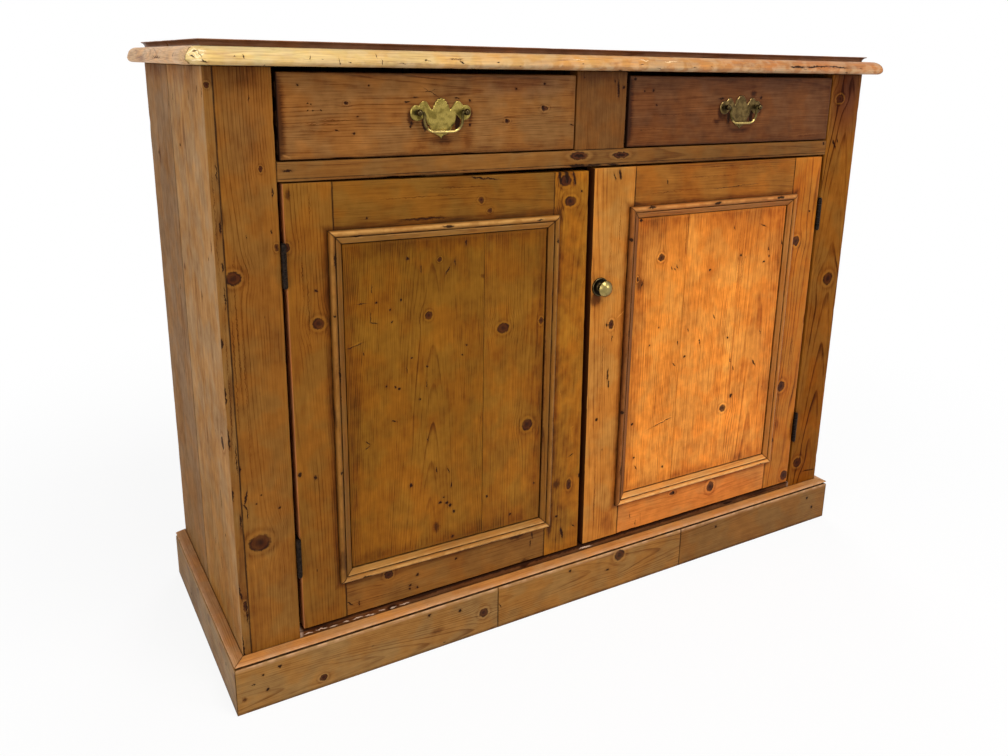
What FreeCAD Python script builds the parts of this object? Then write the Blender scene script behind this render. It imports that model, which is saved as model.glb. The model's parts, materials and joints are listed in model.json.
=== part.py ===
import FreeCAD, Part
import math
import os

# A panelled pine cupboard with two drawers over two doors, on a plinth. Sizes are in millimetres.
# +X is to the right, +Y to the back and +Z up. The origin is on the floor, midway across the
# cupboard and midway between its foremost and rearmost points.

# Carcass
carcass_width = 1158.0          # over the faces of the two sides
carcass_depth = 400.0           # stile faces to the back
carcass_height = 882.0          # floor to the underside of the top
side_thickness = 12.0
side_front_board = 217.0        # depth of the front board of each side
tongue_length = 5.0
tongue_thickness = 4.0
frame_thickness = 22.0          # stiles, muntin and bottom rail
left_stile_width = 70.5         # beside the left side, whose front edge shows
right_stile_width = 76.0        # over the front edge of the right side
tenon_length = 15.0
tenon_thickness = 10.0
tenon_shoulder = 4.0
back_thickness = 12.0
back_rebate = 6.0
back_foot = 20.0                # back boards stop this far above the floor
back_board_count = 6

# Drawer rail and muntin
drawer_opening_height = 115.5
rail_height = 25.5
rail_depth = 70.0
rail_bead_height = 4.0          # scratched bead line above the lower edge of the rail
rail_bead_radius = 1.0
muntin_width = 92.0
muntin_tenon_side = 18.0
muntin_tenon_length = 12.0

# Bottom rail, floor and shelf
bottom_rail_foot = 12.0
floor_height = 92.0             # top of the cupboard floor above the ground
floor_thickness = 20.0
floor_setback = 1.0             # front edge of the floor behind the stile faces
floor_front_board = 205.0
shelf_height = 420.0            # top of the shelf above the ground
shelf_thickness = 18.0
shelf_setback = 60.0
shelf_front_board = 160.0
shelf_end_play = 1.0
bearer_width = 20.0
bearer_height = 28.0

# Top and its nosing
nosing_height = 22.0
nosing_projection = 24.0
nosing_lower_round = 7.0
top_front_board = 205.0
cove_height = 7.0
cove_root_inset = 3.0
lip_overhang = 3.0
lip_thickness = 1.0

# Plinth and its cap moulding
plinth_thickness = 17.0
plinth_height = 74.0
plinth_left_joint = -176.0      # butt joints of the front board, from the middle
plinth_right_joint = 209.0
cap_height = 9.0
cap_inset = 0.5                 # cap nose behind the plinth face
cap_quirk_depth = 4.0
cap_quirk_height = 3.0
cap_nose = 3.0

# Doors
door_thickness = 22.0
hinge_gap = 6.0                 # stile edge to door edge, filled by the hinge leaves
meeting_gap = 10.0
meeting_offset = -9.2           # middle of the gap between the doors, from the middle
meeting_lean = 7.6              # the gap runs this far to the right from head to foot
door_foot_gap = 3.0
left_head_gap_hinge = 1.5       # the left door's head is planed on the skew
left_head_gap_meeting = 6.0
right_head_gap = 3.0
left_hinge_stile = 65.0
left_meeting_stile = 65.8
right_meeting_stile = 76.8
right_hinge_stile = 68.0
door_top_rail = 72.5
door_bottom_rail = 66.3
door_tenon_length = 30.0
door_tenon_shoulder = 10.0
panel_setback = 7.0
panel_thickness = 8.0
panel_groove = 8.0
panel_play = 1.0
field_setback = 0.6             # raised field of a panel behind the door face
field_gap = 1.2                 # between the field and the moulding
left_panel_joint = -198.0       # plank joints of the panels, from the middle
right_panel_joint = 190.0

# Bolection moulding round the panels
moulding_lap = 9.0              # over the door frame
moulding_reach = 9.7            # over the margin of the panel
bead_height = 7.2
bead_foot = 3.0
quirk_place = 0.6               # middle of the quirk inside the frame's edge
quirk_width = 1.6
quirk_height = 4.6
quirk_depth = 1.3
slope_foot = 0.9                # inner edge of the moulding in front of the door face
slope_hollow = 0.5

# Butt hinges
hinge_height = 57.0
hinge_from_head = 107.0         # hinge centre below the door head
hinge_from_foot = 117.0
knuckle_radius = 3.6
knuckle_count = 5
knuckle_gap = 0.4
knuckle_proud = 2.5             # hinge axis in front of the stile face
leaf_thickness = 1.8
leaf_width = 18.0
leaf_relief = 0.5
pin_radius = 1.6
pin_clearance = 0.05
pin_tip_radius = 2.6
pin_tip_height = 1.5

# Turning knob of the right door
knob_from_edge = 15.7
knob_from_head = 191.0
knob_reach = 23.5               # in front of the door face
knob_radius = 13.0
knob_widest = 16.5              # height of the widest ring above the door face
knob_neck_radius = 5.5
knob_hollow = 1.4               # dip of the curve between neck and widest ring
rosette_radius = 15.4
rosette_thickness = 2.0
rosette_rim = 1.3
rosette_rim_height = 3.2
rosette_collar_radius = 8.0
rosette_collar_taper = 1.0
rosette_collar_height = 4.5
spindle_radius = 4.0
spindle_clearance = 0.06
spindle_end_gap = 0.4
catch_square = 5.4
catch_square_clearance = 0.05
catch_thickness = 3.0
catch_width = 14.0
catch_length = 43.0
catch_gap = 0.8                 # between the doors' backs and the catch
rivet_radius = 4.4
rivet_height = 1.5

# Bolt on the back of the left door
bolt_radius = 3.5
bolt_clearance = 0.08
bolt_throw = 14.0
bolt_tip_gap = 2.0              # tip below the lowest point of the door head
bolt_plate_thickness = 2.0
bolt_plate_width = 24.0
bolt_axis_height = 7.0          # above the door's back
bolt_keeper_width = 14.0
bolt_keeper_depth = 11.0
bolt_keeper_height = 12.0
bolt_upper_keeper = 10.0        # top of the upper keeper below the tip
bolt_keeper_space = 38.0
bolt_tail = 16.0
bolt_stud_radius = 3.0
bolt_stud_length = 12.0
bolt_stud_rest = 4.0            # stud above the lower keeper at rest
bolt_mortise_width = 12.0       # square mortise in the underside of the drawer rail
bolt_mortise_spare = 3.0

# Drawers
drawer_gap_left = 4.5
drawer_gap_right = 2.5
drawer_gap_top = 6.0
drawer_gap_foot = 1.5
drawer_front_thickness = 20.0
drawer_side_thickness = 12.0
drawer_side_drop = 4.0          # drawer sides below the top of the front
drawer_back_space = 25.0        # behind the closed drawer
drawer_back_thickness = 12.0
drawer_back_drop = 8.0
drawer_back_housing = 4.0
drawer_bottom_thickness = 8.0
drawer_bottom_lift = 10.0
drawer_groove = 5.0
dovetail_lap = 6.0
dovetail_count = 3
dovetail_root = 14.0
dovetail_flare = 3.0            # on each edge of a tail
runner_clearance = 0.3
runner_ledge = 8.0              # runner beyond the drawer side
guide_height = 20.0
guide_clearance = 1.5
stop_length = 30.0
stop_depth = 18.0
stop_height = 7.0
stop_clearance = 0.3
stop_places = (0.25, 0.75)      # along a drawer front
door_stop_length = 60.0
door_stop_size = 14.0

# Drawer handles
post_spacing = 71.0
post_lift = 8.3                 # posts above the middle of the plate
left_handle_aside = 1.8         # middle of each plate to the right of the middle of its drawer front
right_handle_aside = 8.8
left_handle_drop = 5.2          # middle of each plate below the middle of its drawer front
right_handle_drop = 3.1
plate_thickness = 1.6
plate_rim = 0.9                 # flat border round the raised field
plate_rim_thickness = 1.0
post_standoff = 7.0             # plate face to the middle of the post ball
post_ball_radius = 4.5
post_neck_radius = 2.6
post_collar_radius = 3.9
post_collar_height = 1.2
post_shank_radius = 2.5
post_shank_clearance = 0.05
nut_radius = 6.0
nut_height = 4.5
bail_rod_radius = 1.9
bail_drop = 25.4
bail_corner = 15.0
bail_swell = 0.6
bail_swell_length = 34.0
bail_swell_sink = 0.4           # ends of the swelling inside the rod
bail_gap = 0.5                  # rod to post ball
bail_pin_radius = 1.4
bail_pin_depth = 3.5
bail_pin_clearance = 0.06

# Places worked out from the sizes above
half_width = carcass_width / 2
front_reach = max(knob_reach, nosing_projection)
front = front_reach - (front_reach + carcass_depth) / 2
back = front + carcass_depth
back_face = back - back_thickness
frame_back = front + frame_thickness
side_left = -half_width + side_thickness
side_right = half_width - side_thickness
opening_left = side_left + left_stile_width
opening_right = half_width - right_stile_width
rail_top = carcass_height - drawer_opening_height
rail_under = rail_top - rail_height
rail_back = front + rail_depth
floor_under = floor_height - floor_thickness
shelf_under = shelf_height - shelf_thickness
door_back = front + door_thickness
door_foot = floor_height + door_foot_gap
left_door_left = opening_left + hinge_gap
left_door_right = meeting_offset - meeting_gap / 2
right_door_left = meeting_offset + meeting_gap / 2
right_door_right = opening_right - hinge_gap
panel_front = front + panel_setback
panel_back = panel_front + panel_thickness
hinge_axis_y = front - knuckle_proud
bolt_x = left_door_right - left_meeting_stile / 2
bolt_y = door_back + bolt_axis_height
bolt_tip = rail_under - left_head_gap_meeting - bolt_tip_gap
knob_x = right_door_left + knob_from_edge
knob_z = rail_under - knob_from_head
drawer_back = back_face - drawer_back_space
drawer_front_back = front + drawer_front_thickness
drawer_side_foot = rail_top + runner_clearance
drawer_front_foot = rail_top + drawer_gap_foot
drawer_front_top = carcass_height - drawer_gap_top
drawer_side_top = drawer_front_top - drawer_side_drop
drawer_bottom_foot = drawer_side_foot + drawer_bottom_lift
drawer_bottom_top = drawer_bottom_foot + drawer_bottom_thickness
bail_axis_y = front - plate_thickness - post_standoff

X = FreeCAD.Vector(1, 0, 0)
Y = FreeCAD.Vector(0, 1, 0)
Z = FreeCAD.Vector(0, 0, 1)


def box(x0, x1, y0, y1, z0, z1):
    """Block between two values on each axis."""
    return Part.makeBox(x1 - x0, y1 - y0, z1 - z0, FreeCAD.Vector(x0, y0, z0))


def rod(x, y, z, direction, length, radius):
    """Cylinder from a point along a direction."""
    return Part.makeCylinder(radius, length, FreeCAD.Vector(x, y, z), direction)


def joined(first, *others):
    """One solid out of pieces that meet."""
    return first.fuse(list(others)).removeSplitter()


def outline(start, *steps):
    """Flat closed face in the YZ plane. A step is a line's end, or an arc's middle and end."""
    here = FreeCAD.Vector(0, *start)
    first = here
    edges = []
    for step in steps:
        if isinstance(step[0], tuple):
            middle = FreeCAD.Vector(0, *step[0])
            end = FreeCAD.Vector(0, *step[1])
            edges.append(Part.Arc(here, middle, end).toShape())
        else:
            end = FreeCAD.Vector(0, *step)
            edges.append(Part.LineSegment(here, end).toShape())
        here = end
    if here.distanceToPoint(first) > 1e-6:
        edges.append(Part.LineSegment(here, first).toShape())
    return Part.Face(Part.Wire(edges))


def on_circle(centre, radius, degrees):
    """Point of a circle in an outline."""
    turn = math.radians(degrees)
    return (centre[0] + radius * math.cos(turn), centre[1] + radius * math.sin(turn))


def prism_xz(points, y0, y1):
    """Upright-faced block with a polygon in XZ, from y0 to y1."""
    corners = [FreeCAD.Vector(x, y0, z) for x, z in points]
    return Part.Face(Part.makePolygon(corners + corners[:1])).extrude(Y * (y1 - y0))


def mitred_bar(face, length, start_slope, end_slope):
    """Outline run along X, with ends on the lines x = slope * y through both end points."""
    bounds = face.BoundBox
    low = bounds.YMin - 1
    high = bounds.YMax + 1
    spare = max(abs(low), abs(high)) + 1
    long_bar = face.extrude(X * (length + 2 * spare))
    long_bar.translate(X * -spare)
    plan = [
        FreeCAD.Vector(start_slope * low, low, bounds.ZMin - 1),
        FreeCAD.Vector(length + end_slope * low, low, bounds.ZMin - 1),
        FreeCAD.Vector(length + end_slope * high, high, bounds.ZMin - 1),
        FreeCAD.Vector(start_slope * high, high, bounds.ZMin - 1),
    ]
    kept = Part.Face(Part.makePolygon(plan + plan[:1])).extrude(Z * (bounds.ZLength + 2))
    return long_bar.common(kept).Solids[0]


def placed(shape, origin, along, outward):
    """Copy of a shape with its X run along one direction and its Y along another."""
    up = along.cross(outward)
    matrix = FreeCAD.Matrix(
        along.x, outward.x, up.x, origin[0],
        along.y, outward.y, up.y, origin[1],
        along.z, outward.z, up.z, origin[2],
        0, 0, 0, 1,
    )
    moved = shape.copy()
    moved.Placement = FreeCAD.Placement(matrix)
    return moved


def surround(face, height):
    """Front, left and right runs of a moulding round the carcass, mitred at the front corners."""
    front_run = placed(mitred_bar(face, carcass_width, -1, 1), (half_width, front, height), -X, -Y)
    left_run = placed(mitred_bar(face, carcass_depth, -1, 0), (-half_width, front, height), Y, -X)
    right_run = placed(mitred_bar(face, carcass_depth, 0, 1), (half_width, back, height), -Y, X)
    return front_run, left_run, right_run


def side(x0, x1, inner_face, y0):
    """Two upright boards, tongued together, the back one rebated for the back boards."""
    joint = front + side_front_board
    middle = (x0 + x1) / 2
    tongue = box(
        middle - tongue_thickness / 2, middle + tongue_thickness / 2,
        joint, joint + tongue_length, 0, carcass_height,
    )
    front_board = joined(box(x0, x1, y0, joint, 0, carcass_height), tongue)
    rebate = box(
        inner_face - back_rebate, inner_face + back_rebate,
        back_face, back, back_foot, carcass_height,
    )
    back_board = box(x0, x1, joint, back, 0, carcass_height).cut([tongue, rebate])
    return front_board, back_board


def sides():
    """Both sides of the carcass."""
    left = side(-half_width, side_left, side_left, front)
    right = side(side_right, half_width, side_right, frame_back)
    return {
        "side_left_front_board": [left[0]],
        "side_left_back_board": [left[1]],
        "side_right_front_board": [right[0]],
        "side_right_back_board": [right[1]],
    }


def rail_tenon(x0, x1, z0, z1):
    """Stub tenon in the middle of the frame's thickness."""
    inset = (frame_thickness - tenon_thickness) / 2
    return box(x0, x1, front + inset, frame_back - inset, z0 + tenon_shoulder, z1 - tenon_shoulder)


def face_frame():
    """Stiles, drawer rail, muntin and bottom rail of the front."""
    levels = [(rail_under, rail_top), (bottom_rail_foot, floor_under)]
    left_tenons = [rail_tenon(opening_left - tenon_length, opening_left, *level) for level in levels]
    right_tenons = [rail_tenon(opening_right, opening_right + tenon_length, *level) for level in levels]
    left_stile = box(side_left, opening_left, front, frame_back, 0, carcass_height).cut(left_tenons)
    right_stile = box(opening_right, half_width, front, frame_back, 0, carcass_height).cut(right_tenons)
    inset = (frame_thickness - tenon_thickness) / 2
    muntin_tenon = box(
        -muntin_width / 2 + muntin_tenon_side, muntin_width / 2 - muntin_tenon_side,
        front + inset, frame_back - inset, rail_top - muntin_tenon_length, rail_top,
    )
    muntin = box(-muntin_width / 2, muntin_width / 2, front, frame_back, rail_top, carcass_height)
    half = bolt_mortise_width / 2
    bolt_mortise = box(
        bolt_x - half, bolt_x + half, bolt_y - half, bolt_y + half,
        rail_under, bolt_tip + bolt_throw + bolt_mortise_spare,
    )
    bead_line = rod(
        opening_left, front, rail_under + rail_bead_height, X,
        opening_right - opening_left, rail_bead_radius,
    )
    rail = box(opening_left, opening_right, front, rail_back, rail_under, rail_top)
    rail = joined(rail, left_tenons[0], right_tenons[0]).cut([muntin_tenon, bolt_mortise, bead_line])
    bottom = box(opening_left, opening_right, front, frame_back, bottom_rail_foot, floor_under)
    return {
        "stile_left": [left_stile],
        "stile_right": [right_stile],
        "drawer_rail": [rail],
        "drawer_muntin": [joined(muntin, muntin_tenon)],
        "bottom_rail": [joined(bottom, left_tenons[1], right_tenons[1])],
    }


def bearers(height, y0):
    """Pair of strips fixed to the sides under a floor or shelf."""
    z0 = height - bearer_height
    left = box(side_left, side_left + bearer_width, y0, back_face, z0, height)
    right = box(side_right - bearer_width, side_right, y0, back_face, z0, height)
    return [left, right]


def floor_and_shelf():
    """Cupboard floor and shelf, each of two boards, with the strips that carry them."""
    floor_joint = front + floor_front_board
    floor_nose = box(
        opening_left, opening_right, front + floor_setback, frame_back, floor_under, floor_height,
    )
    floor_front = box(side_left, side_right, frame_back, floor_joint, floor_under, floor_height)
    floor_rear = box(side_left, side_right, floor_joint, back_face, floor_under, floor_height)
    shelf_left = side_left + shelf_end_play
    shelf_right = side_right - shelf_end_play
    shelf_front = front + shelf_setback
    shelf_joint = shelf_front + shelf_front_board
    return {
        "floor_boards": [joined(floor_nose, floor_front), floor_rear],
        "shelf_boards": [
            box(shelf_left, shelf_right, shelf_front, shelf_joint, shelf_under, shelf_height),
            box(shelf_left, shelf_right, shelf_joint, back_face, shelf_under, shelf_height),
        ],
        "bearers": bearers(floor_under, frame_back) + bearers(shelf_under, shelf_front),
    }


def back_boards():
    """Upright boards tongued together, let into rebates in the sides."""
    left = side_left - back_rebate
    width = (side_right + back_rebate - left) / back_board_count
    middle = (back_face + back) / 2
    boards = []
    for index in range(back_board_count):
        x0 = left + index * width
        board = box(x0, x0 + width, back_face, back, back_foot, carcass_height)
        tongue = box(
            x0 + width, x0 + width + tongue_length,
            middle - tongue_thickness / 2, middle + tongue_thickness / 2, back_foot, carcass_height,
        )
        if index > 0:
            board = board.cut(tongue.translated(X * -width))
        if index < back_board_count - 1:
            board = joined(board, tongue)
        boards.append(board)
    return {"back_boards": boards}


def top():
    """Top of two tongued boards with a coved edge, over a mitred nosing."""
    base = carcass_height + nosing_height
    crown = base + cove_height + lip_thickness
    slab = box(-half_width, half_width, front, back, carcass_height, base)
    lip = box(-half_width - lip_overhang, half_width + lip_overhang, front - lip_overhang, back, base, crown)
    run = cove_root_inset + lip_overhang
    radius = (run ** 2 + cove_height ** 2) / (2 * run)
    centre = (radius - cove_root_inset, 0)
    half_turn = math.degrees(math.acos((radius - run) / radius)) / 2
    cove = outline(
        (-cove_root_inset, 0),
        (on_circle(centre, radius, 180 - half_turn), (lip_overhang, cove_height)),
        (lip_overhang + nosing_projection, cove_height),
        (lip_overhang + nosing_projection, 0),
    )
    whole = joined(slab, lip.cut(list(surround(cove, base))))
    joint = front + top_front_board
    middle = carcass_height + nosing_height / 2
    reach = half_width + lip_overhang
    tongue = box(
        -half_width, half_width, joint, joint + tongue_length,
        middle - tongue_thickness / 2, middle + tongue_thickness / 2,
    )
    front_half = box(-reach, reach, front - lip_overhang, joint, carcass_height, crown)
    back_half = box(-reach, reach, joint, back, carcass_height, crown)
    flat = nosing_projection - nosing_lower_round
    upper_round = nosing_height - nosing_lower_round
    lower_centre = (flat, nosing_lower_round)
    upper_centre = (nosing_projection - upper_round, nosing_lower_round)
    nosing = outline(
        (0, 0),
        (flat, 0),
        (on_circle(lower_centre, nosing_lower_round, -45), (nosing_projection, nosing_lower_round)),
        (on_circle(upper_centre, upper_round, 45), (nosing_projection - upper_round, nosing_height)),
        (0, nosing_height),
    )
    front_run, left_run, right_run = surround(nosing, carcass_height)
    return {
        "top_front_board": [joined(whole.common(front_half), tongue)],
        "top_back_board": [whole.common(back_half).cut(tongue)],
        "nosing_front": [front_run],
        "nosing_left": [left_run],
        "nosing_right": [right_run],
    }


def plinth():
    """Plinth boards round the foot, the front one in three lengths, under a mitred cap moulding."""
    board = outline((0, 0), (plinth_thickness, 0), (plinth_thickness, plinth_height), (0, plinth_height))
    front_run, left_run, right_run = surround(board, 0)
    end = half_width + plinth_thickness
    cuts = [-end, plinth_left_joint, plinth_right_joint, end]
    lengths = []
    for x0, x1 in zip(cuts, cuts[1:]):
        stretch = box(x0, x1, front - plinth_thickness, front, 0, plinth_height)
        lengths.append(front_run.common(stretch).Solids[0])
    nose = plinth_thickness - cap_inset
    nose_top = cap_quirk_height + cap_nose
    nose_round = cap_nose / 2
    nose_centre = (nose - nose_round, cap_quirk_height + nose_round)
    cap = outline(
        (0, 0),
        (nose - cap_quirk_depth, 0),
        (nose - cap_quirk_depth, cap_quirk_height),
        (nose - nose_round, cap_quirk_height),
        (on_circle(nose_centre, nose_round, 0), (nose - nose_round, nose_top)),
        (0, cap_height),
    )
    return {
        "plinth_front_boards": lengths,
        "plinth_left": [left_run],
        "plinth_right": [right_run],
        "plinth_caps": list(surround(cap, plinth_height)),
    }


def drawer_places():
    """Left and right edge of each drawer front."""
    left = (opening_left + drawer_gap_left, -muntin_width / 2 - drawer_gap_right)
    right = (muntin_width / 2 + drawer_gap_left, opening_right - drawer_gap_right)
    return {"left": left, "right": right}


def drawer_supports():
    """Runners, guides and stops of the drawers, and the stops of the doors."""
    places = drawer_places()
    reach = drawer_side_thickness + runner_ledge
    left = places["left"]
    right = places["right"]
    runner_spans = [
        (side_left, left[0] + reach),
        (left[1] - reach, right[0] + reach),
        (right[1] - reach, side_right),
    ]
    guide_spans = [
        (side_left, left[0] - guide_clearance),
        (left[1] + guide_clearance, right[0] - guide_clearance),
        (right[1] + guide_clearance, side_right),
    ]
    runners = [box(x0, x1, rail_back, back_face, rail_under, rail_top) for x0, x1 in runner_spans]
    guides = [
        box(x0, x1, frame_back, back_face, rail_top, rail_top + guide_height) for x0, x1 in guide_spans
    ]
    stops = []
    stop_front = drawer_front_back + stop_clearance
    for x0, x1 in places.values():
        for share in stop_places:
            x = x0 + share * (x1 - x0) - stop_length / 2
            stop = box(
                x, x + stop_length, stop_front, stop_front + stop_depth, rail_top, rail_top + stop_height,
            )
            stops.append(stop)
    for x0, x1 in ((left_door_left, left_door_right), (right_door_left, right_door_right)):
        x = (x0 + x1 - door_stop_length) / 2
        y = door_back + stop_clearance
        stop = box(
            x, x + door_stop_length, y, y + door_stop_size, rail_under - door_stop_size, rail_under,
        )
        stops.append(stop)
    return {
        "drawer_runners": runners,
        "drawer_guides": guides,
        "stop_blocks": stops,
    }


def hinge():
    """Carcass leaf, door leaf and pin of a left-hand butt hinge, its axis on Z from the origin."""
    step = hinge_height / knuckle_count
    relief = knuckle_radius + leaf_relief
    leaf_end = knuckle_proud + leaf_width
    bore = rod(0, 0, -1, Z, hinge_height + 2, pin_radius + pin_clearance)
    leaves = []
    for parity, x in ((0, -hinge_gap / 2), (1, hinge_gap / 2 - leaf_thickness)):
        plate = box(x, x + leaf_thickness, relief, leaf_end, 0, hinge_height)
        barrels = []
        for index in range(parity, knuckle_count, 2):
            low = index * step + (knuckle_gap / 2 if index > 0 else 0)
            high = (index + 1) * step - (knuckle_gap / 2 if index < knuckle_count - 1 else 0)
            barrels.append(rod(0, 0, low, Z, high - low, knuckle_radius))
            barrels.append(box(x, x + leaf_thickness, 0, relief, low, high))
        leaves.append(joined(plate, *barrels).cut(bore))
    pin = joined(
        rod(0, 0, -pin_tip_height, Z, hinge_height + 2 * pin_tip_height, pin_radius),
        rod(0, 0, -pin_tip_height, Z, pin_tip_height, pin_tip_radius),
        rod(0, 0, hinge_height, Z, pin_tip_height, pin_tip_radius),
    )
    return leaves[0], leaves[1], pin


def hinges():
    """Two hinges on each door."""
    pieces = hinge()
    groups = [[], [], [], []]
    levels = (
        rail_under - hinge_from_head - hinge_height / 2,
        door_foot + hinge_from_foot - hinge_height / 2,
    )
    for z in levels:
        left_place = FreeCAD.Vector(opening_left + hinge_gap / 2, hinge_axis_y, z)
        right_place = FreeCAD.Vector(opening_right - hinge_gap / 2, hinge_axis_y, z)
        left = [piece.translated(left_place) for piece in pieces]
        right = [piece.mirror(FreeCAD.Vector(), X).translated(right_place) for piece in pieces]
        groups[0] += [left[0], right[0]]
        groups[1] += [left[2], right[2]]
        groups[2].append(left[1])
        groups[3].append(right[1])
    return {
        "hinge_carcass_leaves": groups[0],
        "hinge_pins": groups[1],
        "door_left_hinge_leaves": groups[2],
        "door_right_hinge_leaves": groups[3],
    }


def bolection(x0, x1, z0, z1):
    """Four mitred lengths of moulding round a panel opening, lapped over the frame."""
    bead_end = quirk_place - quirk_width / 2
    bead_middle = ((-moulding_lap + bead_end) / 2, bead_height)
    slope_start = quirk_place + quirk_width / 2
    slope_middle = (
        (slope_start + moulding_reach) / 2 - slope_hollow,
        (quirk_height + slope_foot) / 2 - slope_hollow,
    )
    face = outline(
        (-moulding_lap, 0),
        (-moulding_lap, bead_foot),
        (bead_middle, (bead_end, quirk_height)),
        (quirk_place, quirk_height - quirk_depth),
        (slope_start, quirk_height),
        (slope_middle, (moulding_reach, slope_foot)),
        (moulding_reach, -panel_setback),
        (0, -panel_setback),
        (0, 0),
    )
    upright = mitred_bar(face, z1 - z0, 1, -1)
    level = mitred_bar(face, x1 - x0, 1, -1)
    return [
        placed(upright, (x0, front, z1), -Z, X),
        placed(level, (x1, front, z1), -X, -Z),
        placed(upright, (x1, front, z0), Z, -X),
        placed(level, (x0, front, z0), X, Z),
    ]


def door(name, x0, x1, left_width, right_width, left_lean, right_lean, head_left, head_right, panel_joint):
    """Framed door with a raised, planked panel in grooves and a bolection moulding.

    An edge's lean is how far it runs to the right from the head to the foot.
    """
    head = rail_under - min(head_left, head_right)
    inner_left = x0 + left_width
    inner_right = x1 - right_width
    inner_foot = door_foot + door_bottom_rail
    inner_head = rail_under - right_head_gap - door_top_rail
    outer_left = x0 - left_lean / 2
    outer_right = x1 + right_lean / 2
    above = prism_xz(
        [
            (outer_left, rail_under - head_left),
            (outer_right, rail_under - head_right),
            (outer_right, rail_under + frame_thickness),
            (outer_left, rail_under + frame_thickness),
        ],
        front, door_back,
    )
    beside = []
    if left_lean:
        beside.append(prism_xz(
            [(outer_left, head), (outer_left, door_foot), (x0 + left_lean / 2, door_foot)],
            front, door_back,
        ))
    if right_lean:
        beside.append(prism_xz(
            [(outer_right, door_foot), (outer_right, head), (x1 - right_lean / 2, head)],
            front, door_back,
        ))
    groove = box(
        inner_left - panel_groove, inner_right + panel_groove, panel_front, panel_back,
        inner_foot - panel_groove, inner_head + panel_groove,
    )
    tenons = []
    for z0, z1 in ((door_foot, inner_foot - panel_groove), (inner_head + panel_groove, head)):
        low = z0 + door_tenon_shoulder
        high = z1 - door_tenon_shoulder
        tenons.append(box(
            inner_left - door_tenon_length, inner_right + door_tenon_length,
            panel_front, panel_back, low, high,
        ))
    cuts = [groove, above] + beside + tenons
    left_stile = box(outer_left, inner_left, front, door_back, door_foot, head).cut(cuts)
    right_stile = box(inner_right, outer_right, front, door_back, door_foot, head).cut(cuts)
    bottom_rail = box(inner_left, inner_right, front, door_back, door_foot, inner_foot)
    top_rail = box(inner_left, inner_right, front, door_back, inner_head, head)
    bottom_rail = joined(bottom_rail, tenons[0]).cut(groove)
    top_rail = joined(top_rail, tenons[1]).cut([groove, above])
    edge = panel_groove - panel_play
    margin = moulding_reach + field_gap
    field = box(
        inner_left + margin, inner_right - margin, front + field_setback, panel_front,
        inner_foot + margin, inner_head - margin,
    )
    blank = joined(field, box(
        inner_left - edge, inner_right + edge, panel_front, panel_back,
        inner_foot - edge, inner_head + edge,
    ))
    panel = []
    for start, end in ((inner_left - edge, panel_joint), (panel_joint, inner_right + edge)):
        panel.append(blank.common(box(start, end, front, panel_back, door_foot, head)))
    return {
        f"door_{name}_left_stile": [left_stile],
        f"door_{name}_right_stile": [right_stile],
        f"door_{name}_top_rail": [top_rail],
        f"door_{name}_bottom_rail": [bottom_rail],
        f"door_{name}_panel": panel,
        f"door_{name}_mouldings": bolection(inner_left, inner_right, inner_foot, inner_head),
    }


def doors():
    """Both doors, with the spindle hole in the right one."""
    nodes = door(
        "left", left_door_left, left_door_right, left_hinge_stile, left_meeting_stile,
        0, meeting_lean, left_head_gap_hinge, left_head_gap_meeting, left_panel_joint,
    )
    nodes.update(door(
        "right", right_door_left, right_door_right, right_meeting_stile, right_hinge_stile,
        meeting_lean, 0, right_head_gap, right_head_gap, right_panel_joint,
    ))
    hole = rod(knob_x, front, knob_z, Y, door_thickness, spindle_radius + spindle_clearance)
    nodes["door_right_left_stile"] = [nodes["door_right_left_stile"][0].cut(hole)]
    return nodes


def turned(face, x, z):
    """Solid turned about a line along Y; the outline holds radius and height in front of the door."""
    solid = face.revolve(FreeCAD.Vector(), Z, 360)
    return placed(solid, (x, front, z), X, Z)


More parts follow.
